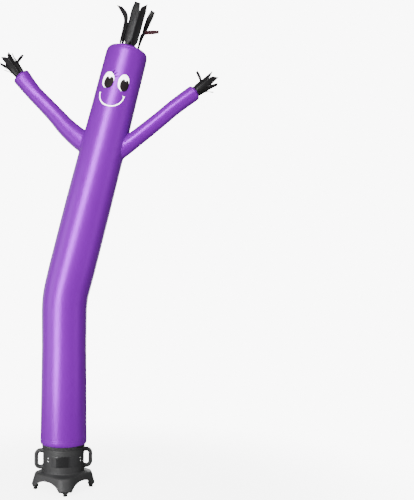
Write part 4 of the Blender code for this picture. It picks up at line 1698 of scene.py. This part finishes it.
@dataclass
class Face:
    """The printed eyes and smile, which follow the head's cloth.

    Places on the head are across from the face's middle and down from the head's top.
    """

    trunk: Trunk
    arms: tuple[Arm, ...]
    turn: float = math.radians(4.2)
    eye_down: float = 0.264
    eye_apart: float = 0.057
    eye_half: Pair = (0.0420, 0.0580)
    pupil_half: Pair = (0.0340, 0.0440)
    pupil_shift: Pair = (0.0090, -0.0150)
    wider: float = 0.08
    lashes: Triple = (62.0, 44.0, 26.0)
    lash: Pair = (0.0180, 0.0032)
    notch_at: float = math.radians(90.0)
    notch_half: float = math.radians(24.0)
    notch_depth: float = 0.46
    smile_down: float = 0.353
    smile_at: float = -0.007
    smile_half: float = 0.090
    smile_line: float = 0.0072
    smile_tick: Pair = (0.018, 0.011)
    rings: int = 12
    columns: int = 96
    centre: float = 0.02
    lash_out: float = 0.6
    ink: float = 0.0005
    lift: float = 0.0006
    above: float = 0.0003

    def on_head(self, across: ndarray, down: ndarray, lift: float) -> ndarray:
        """Points on the head's cloth.

        Args:
            across: Distances round the cloth.
            down: Distances down it.
            lift: How far off the cloth.

        Returns:
            The points, in place.
        """
        along = self.trunk.length - down
        around = FRONT + self.turn + across / self.trunk.radius(along)
        off = self.trunk.relief(along, around, self.arms) + lift
        return placed(DANCER, self.trunk.surface(along, around, off))

    def inked(self, name: str, mesh: Mesh, finish: Material) -> Object:
        """A print's piece."""
        piece = add(name, mesh, finish)
        thicken(piece, self.ink, 1.0)
        return piece

    def oval(
        self, name: str, middle: Pair, half: Pair, finish: Material,
        over: float = 0.0, wide: float = 1.0, notch: float = 0.0, turn: float = 0.0,
    ) -> Object:
        """A printed oval: rings of points that shrink to its middle.

        Args:
            name: The piece's name.
            middle: Its place on the head.
            half: Half its width and half its height.
            finish: The print.
            over: How far it lies over other prints.
            wide: Stretches it sideways.
            notch: How deep a wedge is cut into its top, as a share.
            turn: How far it is turned.

        Returns:
            The piece.
        """
        angles = full_turn(self.columns)
        off = np.clip(1.0 - abs(angles - self.notch_at) / self.notch_half, 0.0, 1.0)
        size = 1.0 - notch * off
        x, y = half[0] * np.cos(angles) * size, half[1] * np.sin(angles) * size
        cos, sin = math.cos(turn), math.sin(turn)
        shares = np.linspace(1.0, self.centre, self.rings)[:, None]
        u = middle[0] + (x * cos - y * sin) * shares * wide
        v = middle[1] - (x * sin + y * cos) * shares
        points = self.on_head(u, v, self.lift + over)[:, :-1]
        mesh = Skin(points, np.stack([u, -v], -1), closed=True).mesh(name)
        shape = bmesh.new()
        shape.from_mesh(mesh)
        shape.faces.new(shape.verts[-self.columns :])
        stored(shape, mesh).shade_smooth()
        return self.inked(name, mesh, finish)

    def eyelash(self, across: float, angle: float, finish: Material) -> Object:
        """A short printed stroke that leaves an eye.

        Args:
            across: Where the eye is.
            angle: Where round the eye.
            finish: The print.

        Returns:
            The piece.
        """
        long, (wide, high) = self.lash[0], self.eye_half
        out = across + (wide + long) * math.cos(angle)
        down = self.eye_down - (high + long * self.lash_out) * math.sin(angle)
        return self.oval("eyelash", (out, down), self.lash, finish, turn=angle)

    def smile(self, finish: Material) -> Object:
        """A line that hangs between two short ticks.

        Args:
            finish: The print.

        Returns:
            The piece.
        """
        angle = np.linspace(math.pi, math.tau, 121)[:, None]
        to_end = np.minimum(angle - math.pi, math.tau - angle) * self.smile_half
        tick, reach = self.smile_tick
        width = self.smile_line + (tick - self.smile_line) * eased(1.0 - to_end / reach)
        size = self.smile_half + width * np.linspace(-0.5, 0.5, 4)
        u, v = self.smile_at + size * np.cos(angle), self.smile_down - size * np.sin(angle)
        mesh = Skin(self.on_head(u, v, self.lift), np.stack([u, -v], -1)).mesh("smile_print")
        if mesh.polygons[0].normal.y > 0:
            mesh.flip_normals()
        return self.inked("smile_print", mesh, finish)

    def make(self, finishes: Finishes) -> list[Object]:
        """Makes the face.

        Args:
            finishes: The finishes.

        Returns:
            The pieces.
        """
        pieces = []
        right, up = self.pupil_shift
        over = self.ink + self.above
        for side in Side:
            word, across = side.word, side.value * self.eye_apart
            wide = 1.0 - side.value * self.wider
            at, shifted = (across, self.eye_down), (across + right, self.eye_down - up)
            name, ink = word + "_pupil_print", finishes.dark
            white = self.oval(word + "_eye_print", at, self.eye_half, finishes.white, 0.0, wide)
            dark = self.oval(name, shifted, self.pupil_half, ink, over, wide, self.notch_depth)
            if side is Side.LEFT:
                angles = (math.radians(angle) for angle in self.lashes)
                dark = joined([dark, *(self.eyelash(across, angle, ink) for angle in angles)])
            pieces.append(settle(white, "white_print", word + "_eye_white"))
            pieces.append(settle(dark, "dark_print", word + "_pupil"))
        pieces.append(settle(self.smile(finishes.white), "white_print", "smile"))
        return pieces


# --- blower ---


@dataclass(frozen=True)
class BaseRing:
    """One level of the base's outline."""

    height: float
    half_side: float
    reach: float
    roundness: float = 0.0
    sharpness: float = 26.0

    def points(self, angle: ndarray) -> ndarray:
        """The outline: a square whose corners are cut off, its edges rounded.

        Args:
            angle: Where round it.

        Returns:
            Its points.
        """
        total = 0.0
        for side in range(8):
            facing = np.maximum(np.cos(angle - side * math.pi / 4), 0.0)
            limit = self.half_side if side % 2 else self.reach
            total = total + (facing / limit) ** self.sharpness
        cornered = total ** (-1.0 / self.sharpness)
        radius = cornered + (self.half_side - cornered) * self.roundness
        return around_z(radius, angle, self.height)


def bar(points: ndarray, radii: ndarray, sides: int = 20) -> Skin:
    """A round bar along points in a plane that holds Z.

    Args:
        points: The middle line.
        radii: Its radii.
        sides: Points round it.

    Returns:
        Its skin.
    """
    tangent = np.gradient(points, axis=0)
    tangent /= np.linalg.norm(tangent, axis=1)[:, None]
    across = np.cross(tangent, BACK)[:, None, :]
    angle = full_turn(sides)[:-1, None]
    rings = np.cos(angle) * np.array(BACK) + np.sin(angle) * across
    return Skin(points[:, None, :] + rings * radii[:, None, None], closed=True)


@dataclass
class Blower:
    """The floor blower: moulded base, drum and handles, band, plate, guard and fittings."""

    finishes: Finishes
    outside: tuple[BaseRing, ...] = (
        BaseRing(0.0200, 0.1610, 0.1960), BaseRing(0.0240, 0.1695, 0.2085),
        BaseRing(0.0330, 0.1740, 0.2145), BaseRing(0.1000, 0.1620, 0.1945),
        BaseRing(0.1070, 0.1585, 0.1895), BaseRing(0.1105, 0.1530, 0.1800, 0.1),
        BaseRing(0.1165, 0.1450, 0.1540, 0.6), BaseRing(0.1210, 0.1385, 0.1385, 1.0),
    )
    inside: tuple[BaseRing, ...] = (
        BaseRing(0.1210, 0.1310, 0.1310, 1.0), BaseRing(0.1040, 0.1310, 0.1310, 1.0),
        BaseRing(0.1000, 0.1490, 0.1600), BaseRing(0.0330, 0.1660, 0.1710),
        BaseRing(0.0200, 0.1580, 0.1665),
    )
    arch: Triple = (0.110, 0.008, 0.072)  # Half its width, its spring and its top.
    arch_block: Pair = (0.25, 0.02)  # Half its length, and how far below the floor it starts.
    boss: Triple = (0.0165, 0.0123, 0.0300)  # Radius, bottom and top.
    foot: Triple = (0.188, 0.0148, 0.0130)  # Distance from the axis, radius and height.
    drum_low: Pair = (0.1385, 0.1213)  # Radius and height.
    drum_high: Pair = (0.1408, 0.2720)
    drum_inside: float = 0.1310
    drum_sunk: float = 0.006
    clear: float = 0.0004
    top: float = 0.3380
    neck: float = 0.1410
    bead: Pair = (0.1465, 0.0045)  # Radius and half its height.
    bead_heights: Pair = (0.2800, 0.3200)
    ledge: Pair = (0.1350, 0.3220)
    rim_soft: float = 0.0015
    rim_sharp: float = math.radians(38.0)
    notch: Triple = (0.02, 0.009, 0.016)
    band: Triple = (0.2850, 0.3150, 0.1455)  # Bottom, top and radius.
    band_lap: Triple = (math.radians(16.0), math.radians(20.0), 0.0019)
    band_soft: float = 0.0008
    band_ramp: float = 0.10
    band_sharp: float = 50.0
    handle: Triple = (0.0108, 0.1845, 0.028)  # Radius, reach and corner.
    handle_fuller: float = 0.0034
    handle_rooted: float = 0.005
    handle_flare: Swell = Swell(0.0045, 0.006)
    handle_heights: Pair = (0.1440, 0.2530)
    melt: float = 0.0030
    plate: Triple = (0.166, 0.235, math.radians(40.0))  # Bottom, top and half its angle.
    plate_corner: float = 0.007
    plate_thickness: float = 0.0014
    plate_bevel: float = 0.0004
    plate_sharp: float = math.radians(50.0)
    seat: float = 0.0006
    rivet_heights: Pair = (0.2180, 0.1985)
    rivet_angle: float = math.radians(50.0)
    rivet_size: float = 0.0035
    screw_height: float = 0.3278
    screw_size: float = 0.0028
    head_dome: Triple = (0.86, 0.86, 0.55)
    head_rim: float = 0.0009
    head_sharp: float = math.radians(40.0)
    rim_start: float = math.radians(45.0)
    guard_height: float = 0.3236
    guard_rings: Triple = (0.0200, 0.1335, 0.0125)  # First, limit and spacing.
    spoke: Triple = (0.020, 0.075, 0.1328)
    wire: float = 0.0012
    foot_shape: tuple[Pair, ...] = (  # How far in from its radius, and the height.
        (0.0015, 0.0), (0.0, 0.0015), (0.0, 0.0060), (0.0010, 0.0072), (0.0010, 0.0090),
        (0.0, 0.0100),
    )
    gland_height: float = 0.150
    gland_seat: float = 0.0005
    gland_flange: tuple[Pair, ...] = (
        (0.0, 0.0), (0.0125, 0.0), (0.0125, 0.0032), (0.0117, 0.0040), (0.0088, 0.0040),
    )
    gland_rib: tuple[Pair, ...] = ((0.0, 0.0), (0.0, 0.0014), (0.0012, 0.0018), (0.0012, 0.0030))
    gland_first: Pair = (0.0086, 0.0052)  # The first rib's radius and height.
    gland_next: Pair = (0.0004, 0.0034)  # How much slimmer and higher the next one is.
    gland_mouth: tuple[Pair, ...] = (
        (0.0062, 0.0200), (0.0042, 0.0200), (0.0040, 0.0194), (0.0040, 0.0080), (0.0, 0.0080),
    )
    rubber_sharp: float = 35.0

    def wall_radius(self, height: Reals) -> Reals:
        """The drum's plain wall, which widens a little upwards."""
        (low, bottom), (high, shoulder) = self.drum_low, self.drum_high
        return low + (high - low) * (height - bottom) / (shoulder - bottom)

    def moulded(self, name: str, skin: Skin) -> Object:
        """A moulded shape."""
        return add(name, solid(name, skin), self.finishes.plastic)

    def fitted(self, piece: Object, slot: str, *nodes: str) -> Object:
        """Puts a piece on the blower."""
        moved(piece.data, BLOWER)
        return settle(piece, slot, *nodes)

    def base(self) -> Object:
        """The base's shell, with its four arches and the bosses over its feet."""
        angles = full_turn(144)[:-1]
        rings = [ring.points(angles) for ring in (*self.outside, *self.inside, self.outside[0])]
        base = self.moulded("base_shell", Skin(np.array(rings), closed=True))
        half, low, high = self.arch
        turn = np.linspace(0.0, math.pi, 25)
        outline = np.stack([half * np.cos(turn), low + (high - low) * np.sin(turn)], 1)
        reach, below = self.arch_block
        outline = np.concatenate([outline, [(-half, -below), (half, -below)]])
        ends = [np.insert(outline, 0, end, axis=1) for end in (-reach, reach)]
        cutters = []
        for number in range(2):
            arch = self.moulded(f"arch_{number}", Skin(np.array(ends), closed=True))
            arch.data.transform(Matrix.Rotation((0.5 + number) * math.pi / 2, 4, "Z"))
            cutters.append(arch)
        cut(base, cutters)
        radius, bottom, top = self.boss
        bosses = []
        for place in self.foot_places():
            profile = [(0.0, bottom), (radius, bottom), (radius, top), (0.0, top)]
            bosses.append(self.moulded("boss", lathe(profile, 32)))
            moved(bosses[-1].data, place)
        return joined([base, *bosses])

    def foot_places(self) -> list[Matrix]:
        """Where the four feet are."""
        out = Matrix.Translation((self.foot[0], 0.0, 0.0))
        return [Matrix.Rotation(turn * math.pi / 2, 4, "Z") @ out for turn in range(4)]

    def handle_bar(self, side: Side) -> Object:
        """One D-shaped handle, thickened where it leaves the drum.

        Args:
            side: Which side.

        Returns:
            The piece.
        """
        radius, reach, corner = self.handle
        low, high = self.handle_heights
        wall = self.drum_low[0]
        inside, bend = wall - self.handle_rooted, reach - corner
        turn = np.linspace(0.0, math.pi / 2, 13)
        cos, sin = corner * np.cos(turn), corner * np.sin(turn)
        upper = np.stack([bend + sin, high - corner + cos], 1)
        lower = np.stack([bend + cos, low + corner - sin], 1)
        line = np.concatenate([
            np.linspace((inside, high), upper[0], 10)[:-1], upper,
            np.linspace(upper[-1], lower[0], 8)[1:-1], lower,
            np.linspace(lower[-1], (inside, low), 10)[1:],
        ])
        radii = radius + self.handle_fuller + self.handle_flare.fading(line[:, 0] - wall)
        points = np.stack([side.value * line[:, 0], 0.0 * radii, line[:, 1]], 1)
        return self.moulded("handle", bar(points, radii))

    def moulding(self) -> None:
        """The base, the drum's wall and the handles as one moulded piece with soft edges."""
        (low, bottom), (high, shoulder) = self.drum_low, self.drum_high
        under, lap, inside = bottom - self.drum_sunk, shoulder - self.clear, self.drum_inside
        profile = [(low, under), (high, lap), (inside, lap), (inside, under), (low, under)]
        wall = self.moulded("wall", lathe(profile, 160))
        piece = joined([self.base(), wall, *(self.handle_bar(side) for side in Side)])
        piece.name = "blower_moulding"
        step(piece, "REMESH", mode="VOXEL", voxel_size=self.melt, use_smooth_shade=True)
        step(piece, "SMOOTH", factor=0.5, iterations=5)
        flatten(piece)
        nodes = ("blower_base", "handle_left", "handle_right", "blower_drum")
        self.fitted(piece, "charcoal_plastic", *nodes)

    def collar(self) -> None:
        """The drum's upper rim: two beads, a neck for the band, a ledge and six notches."""
        radius, half = self.bead
        bottom = self.drum_high[1] - self.seat
        profile = [(self.drum_inside, bottom), (self.drum_high[0], bottom)]
        for height in self.bead_heights:
            for turn in np.linspace(-math.pi / 2, math.pi / 2, 13):
                out = self.neck + (radius - self.neck) * math.cos(turn)
                profile.append((out, height + half * math.sin(turn)))
        (seat, ledge), soft = self.ledge, self.rim_soft
        profile += [
            (self.neck, self.top - soft), (self.neck - soft, self.top), (seat, self.top),
            (seat, ledge), (self.drum_inside, ledge), profile[0],
        ]
        ring = self.moulded("blower_collar", lathe(profile, 168))
        cutters = []
        for angle in self.rim_angles():
            place = Matrix.Rotation(angle, 4, "Z") @ Matrix.Translation((self.neck, 0.0, self.top))
            shape = bmesh.new()
            size = Matrix.Diagonal((*self.notch, 1.0))
            bmesh.ops.create_cube(shape, size=1.0, matrix=place @ size)
            mesh = stored(shape, bpy.data.meshes.new("notch"))
            cutters.append(add("notch", mesh, self.finishes.plastic))
        cut(ring, cutters)
        ring.data.shade_smooth()
        ring.data.set_sharp_from_angle(angle=self.rim_sharp)
        self.fitted(ring, "charcoal_plastic", "blower_drum")

    def rim_angles(self) -> list[float]:
        """Where round the rim the notches and the screws are."""
        return [FRONT + self.rim_start + i * math.pi / 3 for i in range(6)]

    def hook_band(self) -> None:
        """The hook band round the neck, with its free end lapped over near the front."""
        low, high, radius = self.band
        start, more, over = self.band_lap
        inner, outer, soft, ramp = (
            self.neck + self.clear, radius - over, self.band_soft, self.band_ramp,
        )
        start = FRONT + start
        angles = np.linspace(start, start + math.tau + more, 220)
        rise = eased((angles - start - math.tau + ramp) / ramp) * over
        section = np.array([
            (inner, low), (outer - soft, low), (outer, low + soft), (outer, high - soft),
            (outer - soft, high), (inner, high), (inner, low),
        ])
        points = around_z(section[:, :1] + rise, angles, section[:, 1:])
        flat = np.stack(np.broadcast_arrays(angles * radius, section[:, 1:]), -1)
        mesh = solid("hook_band_lapped", Skin(points, flat), self.band_sharp)
        self.fitted(add(mesh.name, mesh, self.finishes.hooks), "hook_tape", "hook_band")

    def front_plate(self) -> None:
        """The blank glossy plate, its corners rounded."""
        low, high, half_angle = self.plate
        radius, corner = self.drum_low[0], self.plate_corner
        half = half_angle * radius
        across = half * np.sin(np.linspace(-math.pi / 2, math.pi / 2, 81))
        into = np.clip(abs(across) - (half - corner), 0.0, corner)
        trim = corner - np.sqrt(np.maximum(corner**2 - into**2, 0.0))
        share = np.linspace(-1.0, 1.0, 9)[:, None]
        height = (low + high) / 2 + share * ((high - low) / 2 - trim)
        points = around_z(self.wall_radius(height) + self.seat, FRONT + across / radius, height)
        flat = np.stack(np.broadcast_arrays(across, height), -1)
        plate = add("glossy_plate", Skin(points, flat).mesh("glossy_plate"), self.finishes.gloss)
        step(plate, "SOLIDIFY", thickness=self.plate_thickness, offset=1.0)
        step(plate, "BEVEL", width=self.plate_bevel, segments=2, limit_method="ANGLE")
        flatten(plate)
        plate.data.set_sharp_from_angle(angle=self.plate_sharp)
        self.fitted(plate, "gloss_plate", "front_plate")

    def heads(self, name: str, places: Sequence[Triple], size: float, nodes: Sequence[str]) -> None:
        """Domed steel heads that face away from the drum's axis.

        Args:
            name: The piece's name.
            places: Their radii, angles and heights.
            size: A head's radius.
            nodes: The CAD nodes that they replace.
        """
        tree = Tree(name + "_tree", Radius=size)
        level = {0: tree.node("InputPosition", {}), 1: (1.0, 1.0, 0.0)}
        turn = tree.facing(tree.node("ShaderNodeVectorMath", level, operation="MULTIPLY"))
        radius = tree.given["Radius"]
        ball = tree.node("MeshUVSphere", {"Segments": 20, "Rings": 10, "Radius": radius})
        dome = tree.node("Transform", {"Geometry": ball, "Scale": self.head_dome})
        sizes = {"Vertices": 20, "Radius": radius, "Depth": self.head_rim}
        rim = tree.node("MeshCylinder", sizes)
        both = tree.node("JoinGeometry", {0: dome})
        tree.tree.links.new(rim, both.node.inputs[0])
        laid = {"Points": tree.given["Geometry"], "Instance": both, "Rotation": turn}
        heads = tree.node("InstanceOnPoints", laid)
        points = [around_z(*place).tolist() for place in places]
        piece = tree.run(heads, self.finishes.steel, name, points)
        piece.data.set_sharp_from_angle(angle=self.head_sharp)
        self.fitted(piece, "bright_steel", *nodes)

    def fasteners(self) -> None:
        """The rivets beside the plate and the screws at the rim's notches."""
        rivets = [
            (self.wall_radius(height) + self.seat, FRONT + side.value * self.rivet_angle, height)
            for side in Side
            for height in self.rivet_heights
        ]
        nodes = [f"rivet_{side.word}_{row}" for side in Side for row in ("upper", "lower")]
        self.heads("rivet_heads", rivets, self.rivet_size, nodes)
        out = self.neck + self.seat
        screws = [(out, angle, self.screw_height) for angle in self.rim_angles()]
        nodes = [f"rim_screw_{number}" for number in range(1, 7)]
        self.heads("screw_heads", screws, self.screw_size, nodes)

    def guard(self) -> None:
        """The round wire guard on the ledge: rings, spokes and a hub ring."""
        lines = Lines()
        turns = full_turn(72)[:-1]
        for radius in np.arange(*self.guard_rings):
            lines.along(around_z(radius, turns, self.guard_height), closed=True)
        for number in range(6):
            angle = number * math.pi / 3
            lines.along(around_z(np.array(self.spoke), angle, self.guard_height + self.clear))
        tree = Tree("guard_wire_tree", Wire=self.wire)
        curve = tree.node("MeshToCurve", {"Mesh": tree.given["Geometry"]})
        size = {"Resolution": 8, "Radius": tree.given["Wire"]}
        ring = tree.node("CurvePrimitiveCircle", size)
        swept = {"Curve": curve, "Profile Curve": ring, "Fill Caps": True}
        wires = tree.node("CurveToMesh", swept)
        steel = self.finishes.steel
        piece = tree.run(wires, steel, "guard_wires", lines.points, lines.edges)
        self.fitted(piece, "bright_steel", "wire_guard")

    def rubber_feet(self) -> None:
        """The four feet, each with a chamfered foot and a waist."""
        _, radius, height = self.foot
        profile = [(0.0, 0.0), *((radius - inset, up) for inset, up in self.foot_shape)]
        profile += [(radius, height), (0.0, height)]
        feet = []
        for place in self.foot_places():
            mesh = moved(solid("rubber_feet", lathe(profile, 40), self.rubber_sharp), place)
            feet.append(add("rubber_feet", mesh, self.finishes.rubber))
        nodes = ("foot_front", "foot_back", "foot_left", "foot_right")
        self.fitted(joined(feet), "black_rubber", *nodes)

    def gland(self) -> None:
        """The lead's gland at the back: a flange, a ribbed sleeve and an empty mouth."""
        (radius, first), (slimmer, pitch) = self.gland_first, self.gland_next
        profile = list(self.gland_flange)
        for rib in range(4):
            start, out = first + pitch * rib, radius - slimmer * rib
            profile += [(out - inset, start + up) for inset, up in self.gland_rib]
        profile += self.gland_mouth
        mesh = solid("ribbed_gland", lathe(profile, 40), self.rubber_sharp)
        height = self.gland_height
        out = Matrix.Translation((self.wall_radius(height) + self.gland_seat, 0.0, height))
        lying = Matrix.Rotation(math.pi / 2, 4, "Y")
        moved(mesh, Matrix.Rotation(math.pi / 2, 4, "Z") @ out @ lying)
        piece = add("ribbed_gland", mesh, self.finishes.rubber)
        self.fitted(piece, "black_rubber", "cable_gland")

    def make(self) -> None:
        """Makes the whole blower."""
        self.moulding()
        self.collar()
        self.hook_band()
        self.front_plate()
        self.fasteners()
        self.guard()
        self.rubber_feet()
        self.gland()


# --- studio ---


@dataclass(frozen=True)
class Strip:
    """An upright soft light that faces the tube.

    It stands at an angle round the tube, 0 in front and positive to the right, and a distance
    from it. Its lean turns it about the line to the tube, and its spread is how wide its grid
    lets it shine, both in degrees.
    """

    name: str
    azimuth: float
    distance: float
    height: float
    size: Pair
    watts: float
    lean: float = 0.0
    spread: float = 180.0


STRIPS = (
    Strip("key_strip", -24.3, 3.1, 2.28, (0.95, 5.0), 240.0, -24.7, 95.0),
    Strip("foot_strip", -44.0, 3.1, 0.55, (1.0, 0.9), 70.0, -24.7),
    Strip("rim_strip", -132.0, 3.0, 1.8, (1.0, 3.4), 13.0),
    Strip("back_strip", 176.0, 3.4, 2.4, (2.4, 3.6), 200.0),
    Strip("left_strip", -76.0, 3.2, 1.7, (1.4, 3.2), 50.0),
    Strip("right_strip", 66.0, 3.6, 1.5, (1.6, 3.2), 30.0),
    Strip("arm_strip", 8.1, 4.24, 4.4, (0.4, 0.7), 90.0),
)


@dataclass
class Studio:
    """The floor, the lights, the surrounding light and the camera."""

    floor_finish: Material
    axis: Triple = (-0.05, 0.0, 1.6)
    floor_radius: float = 3.0
    seen: float = 9.0
    surround: float = 2.0
    mirrored: float = 0.12
    lens: float = 43.13
    shift: float = 0.198
    camera_off: Triple = (0.304, -4.2, 1.25)
    camera_pitch: float = math.radians(95.05)

    def world(self) -> None:
        """A white backdrop for the camera, a softer light, dark surroundings in reflections."""
        world = bpy.data.worlds.new("studio")
        world.use_nodes = True
        tree = world.node_tree
        tree.nodes.clear()
        rays = tree.nodes.new("ShaderNodeLightPath").outputs
        lights = [
            add_node(tree, "ShaderNodeBackground", {}, {"Color": WHITE, "Strength": strength})
            for strength in (self.surround, self.mirrored, self.seen)
        ]
        shader = lights[0].outputs[0]
        for light, ray in zip(lights[1:], ("Is Glossy Ray", "Is Camera Ray")):
            inputs = {0: rays[ray], 1: shader, 2: light.outputs[0]}
            shader = add_node(tree, "ShaderNodeMixShader", {}, inputs).outputs[0]
        add_node(tree, "ShaderNodeOutputWorld", {}, {0: shader})
        bpy.context.scene.world = world

    def floor(self) -> None:
        """A large plain disc."""
        shape = bmesh.new()
        bmesh.ops.create_circle(shape, cap_ends=True, segments=96, radius=self.floor_radius)
        mesh = stored(shape, bpy.data.meshes.new("pale_floor"))
        floor = add("pale_floor", mesh, self.floor_finish)
        floor.visible_glossy = False

    def light(self, strip: Strip) -> None:
        """Sets up a light.

        Args:
            strip: Its place, size and power.
        """
        light = bpy.data.lights.new(strip.name, "AREA")
        light.shape = "RECTANGLE"
        light.size, light.size_y = strip.size
        light.energy = strip.watts
        light.spread = math.radians(strip.spread)
        lamp = add(strip.name, light)
        lamp.visible_camera = False
        turn = math.radians(strip.azimuth)
        place = Vector((math.sin(turn), -math.cos(turn), 0.0)) * strip.distance
        x, y, _ = self.axis
        lamp.location = Vector((x, y, strip.height)) + place
        aim = (Vector(self.axis) - lamp.location).to_track_quat("-Z", "Y")
        lamp.rotation_mode = "QUATERNION"
        lamp.rotation_quaternion = aim @ Quaternion(UP, math.radians(strip.lean))

    def camera(self) -> None:
        """The camera, level with the tube's bend and looking a little up."""
        data = bpy.data.cameras.new("camera")
        data.lens = self.lens
        data.shift_x = self.shift
        camera = add("camera", data)
        right, out, height = self.camera_off
        camera.location = (BLOWER_AT.x + right, BLOWER_AT.y + out, height)
        camera.rotation_euler = (self.camera_pitch, 0.0, 0.0)
        bpy.context.scene.camera = camera

    def make(self) -> None:
        """Sets everything up."""
        self.world()
        self.floor()
        for strip in STRIPS:
            self.light(strip)
        self.camera()


# --- the whole object ---


@dataclass
class Dancer:
    """The cloth figure: trunk, arms, ends, ribbons, print and stitching."""

    finishes: Finishes
    trunk: Trunk = field(default_factory=Trunk)
    left_rows: tuple[Row, ...] = (
        (0.230, 0.000, 2.332, 0.142), (0.133, 0.000, 2.391, 0.144), (0.016, -0.004, 2.495, 0.128),
        (-0.069, -0.012, 2.592, 0.115), (-0.148, -0.025, 2.678, 0.110),
        (-0.229, -0.045, 2.766, 0.108), (-0.313, -0.082, 2.878, 0.124),
    )
    right_rows: tuple[Row, ...] = (
        (0.350, 0.000, 2.283, 0.122), (0.439, 0.000, 2.343, 0.118), (0.525, 0.000, 2.404, 0.110),
        (0.658, 0.004, 2.504, 0.105), (0.783, 0.012, 2.604, 0.103), (0.918, 0.026, 2.701, 0.105),
    )
    crown: Pair = (0.0722, 0.034)  # The vent's radius and the panel's rise.
    hand: Pair = (0.0372, 0.012)
    crown_in: float = 0.001
    hand_in: float = 0.007
    hand_hem: float = 0.0045
    hand_columns: int = 96

    def panels(self, arms: Sequence[Arm]) -> list[EndPanel]:
        """The crown's and the hands' panels.

        Args:
            arms: The arms.

        Returns:
            The panels, the crown's first.
        """
        outer = float(self.trunk.radius(self.trunk.length)) - self.crown_in
        found = [EndPanel("crown_cloth", DANCER @ self.trunk.end(), outer, *self.crown, 21)]
        for arm in arms:
            place, outer = DANCER @ arm.end(), arm.rows[-1][3] / 2 - self.hand_in + FULLER
            name, shape = arm.side.word + "_hand_cloth", (outer, *self.hand, arm.seed + 5)
            found.append(EndPanel(name, place, *shape, self.hand_hem, self.hand_columns))
        return found

    def make(self) -> None:
        """Makes the figure's pieces and puts them on the body."""
        nylon = self.finishes.nylon
        arms = (
            Arm(Side.LEFT, self.trunk, self.left_rows, 31),
            Arm(Side.RIGHT, self.trunk, self.right_rows, 57),
        )
        stitches = Stitching()
        trunk = settle(self.trunk.make(arms, nylon, stitches), "purple_nylon", "body_tube")
        sleeves = [
            settle(arm.make(nylon, stitches), "purple_nylon", arm.side.word + "_arm")
            for arm in arms
        ]
        panels = self.panels(arms)
        names = ("crown_panel", "left_hand_panel", "right_hand_panel")
        ends = [
            settle(panel.make(nylon, stitches), "purple_nylon", name)
            for panel, name in zip(panels, names)
        ]
        tables = (HAIR, *(hand_ribbons(side) for side in Side))
        for panel, table, word in zip(panels, tables, ("hair", "left_hand", "right_hand")):
            seat, seed = float(panel.height(panel.vent)), panel.seed + 9
            bunch = RibbonBunch(word + "_satin", panel.place, panel.vent, seat, table, seed)
            made = bunch.make(self.finishes.ribbon)
            settle(made, "black_ribbon", word + "_ribbons")
        prints = Face(self.trunk, arms).make(self.finishes)
        thread = settle(stitches.make("sewing_thread", self.finishes.thread), "purple_nylon")


def main() -> None:
    """Builds and dresses everything, in order."""
    logging.basicConfig(level=logging.INFO, format="%(name)s: %(message)s")
    finishes = Finishes()
    Studio(finishes.floor).make()
    Dancer(finishes).make()
    Blower(finishes).make()


if __name__ == "__main__":
    main()
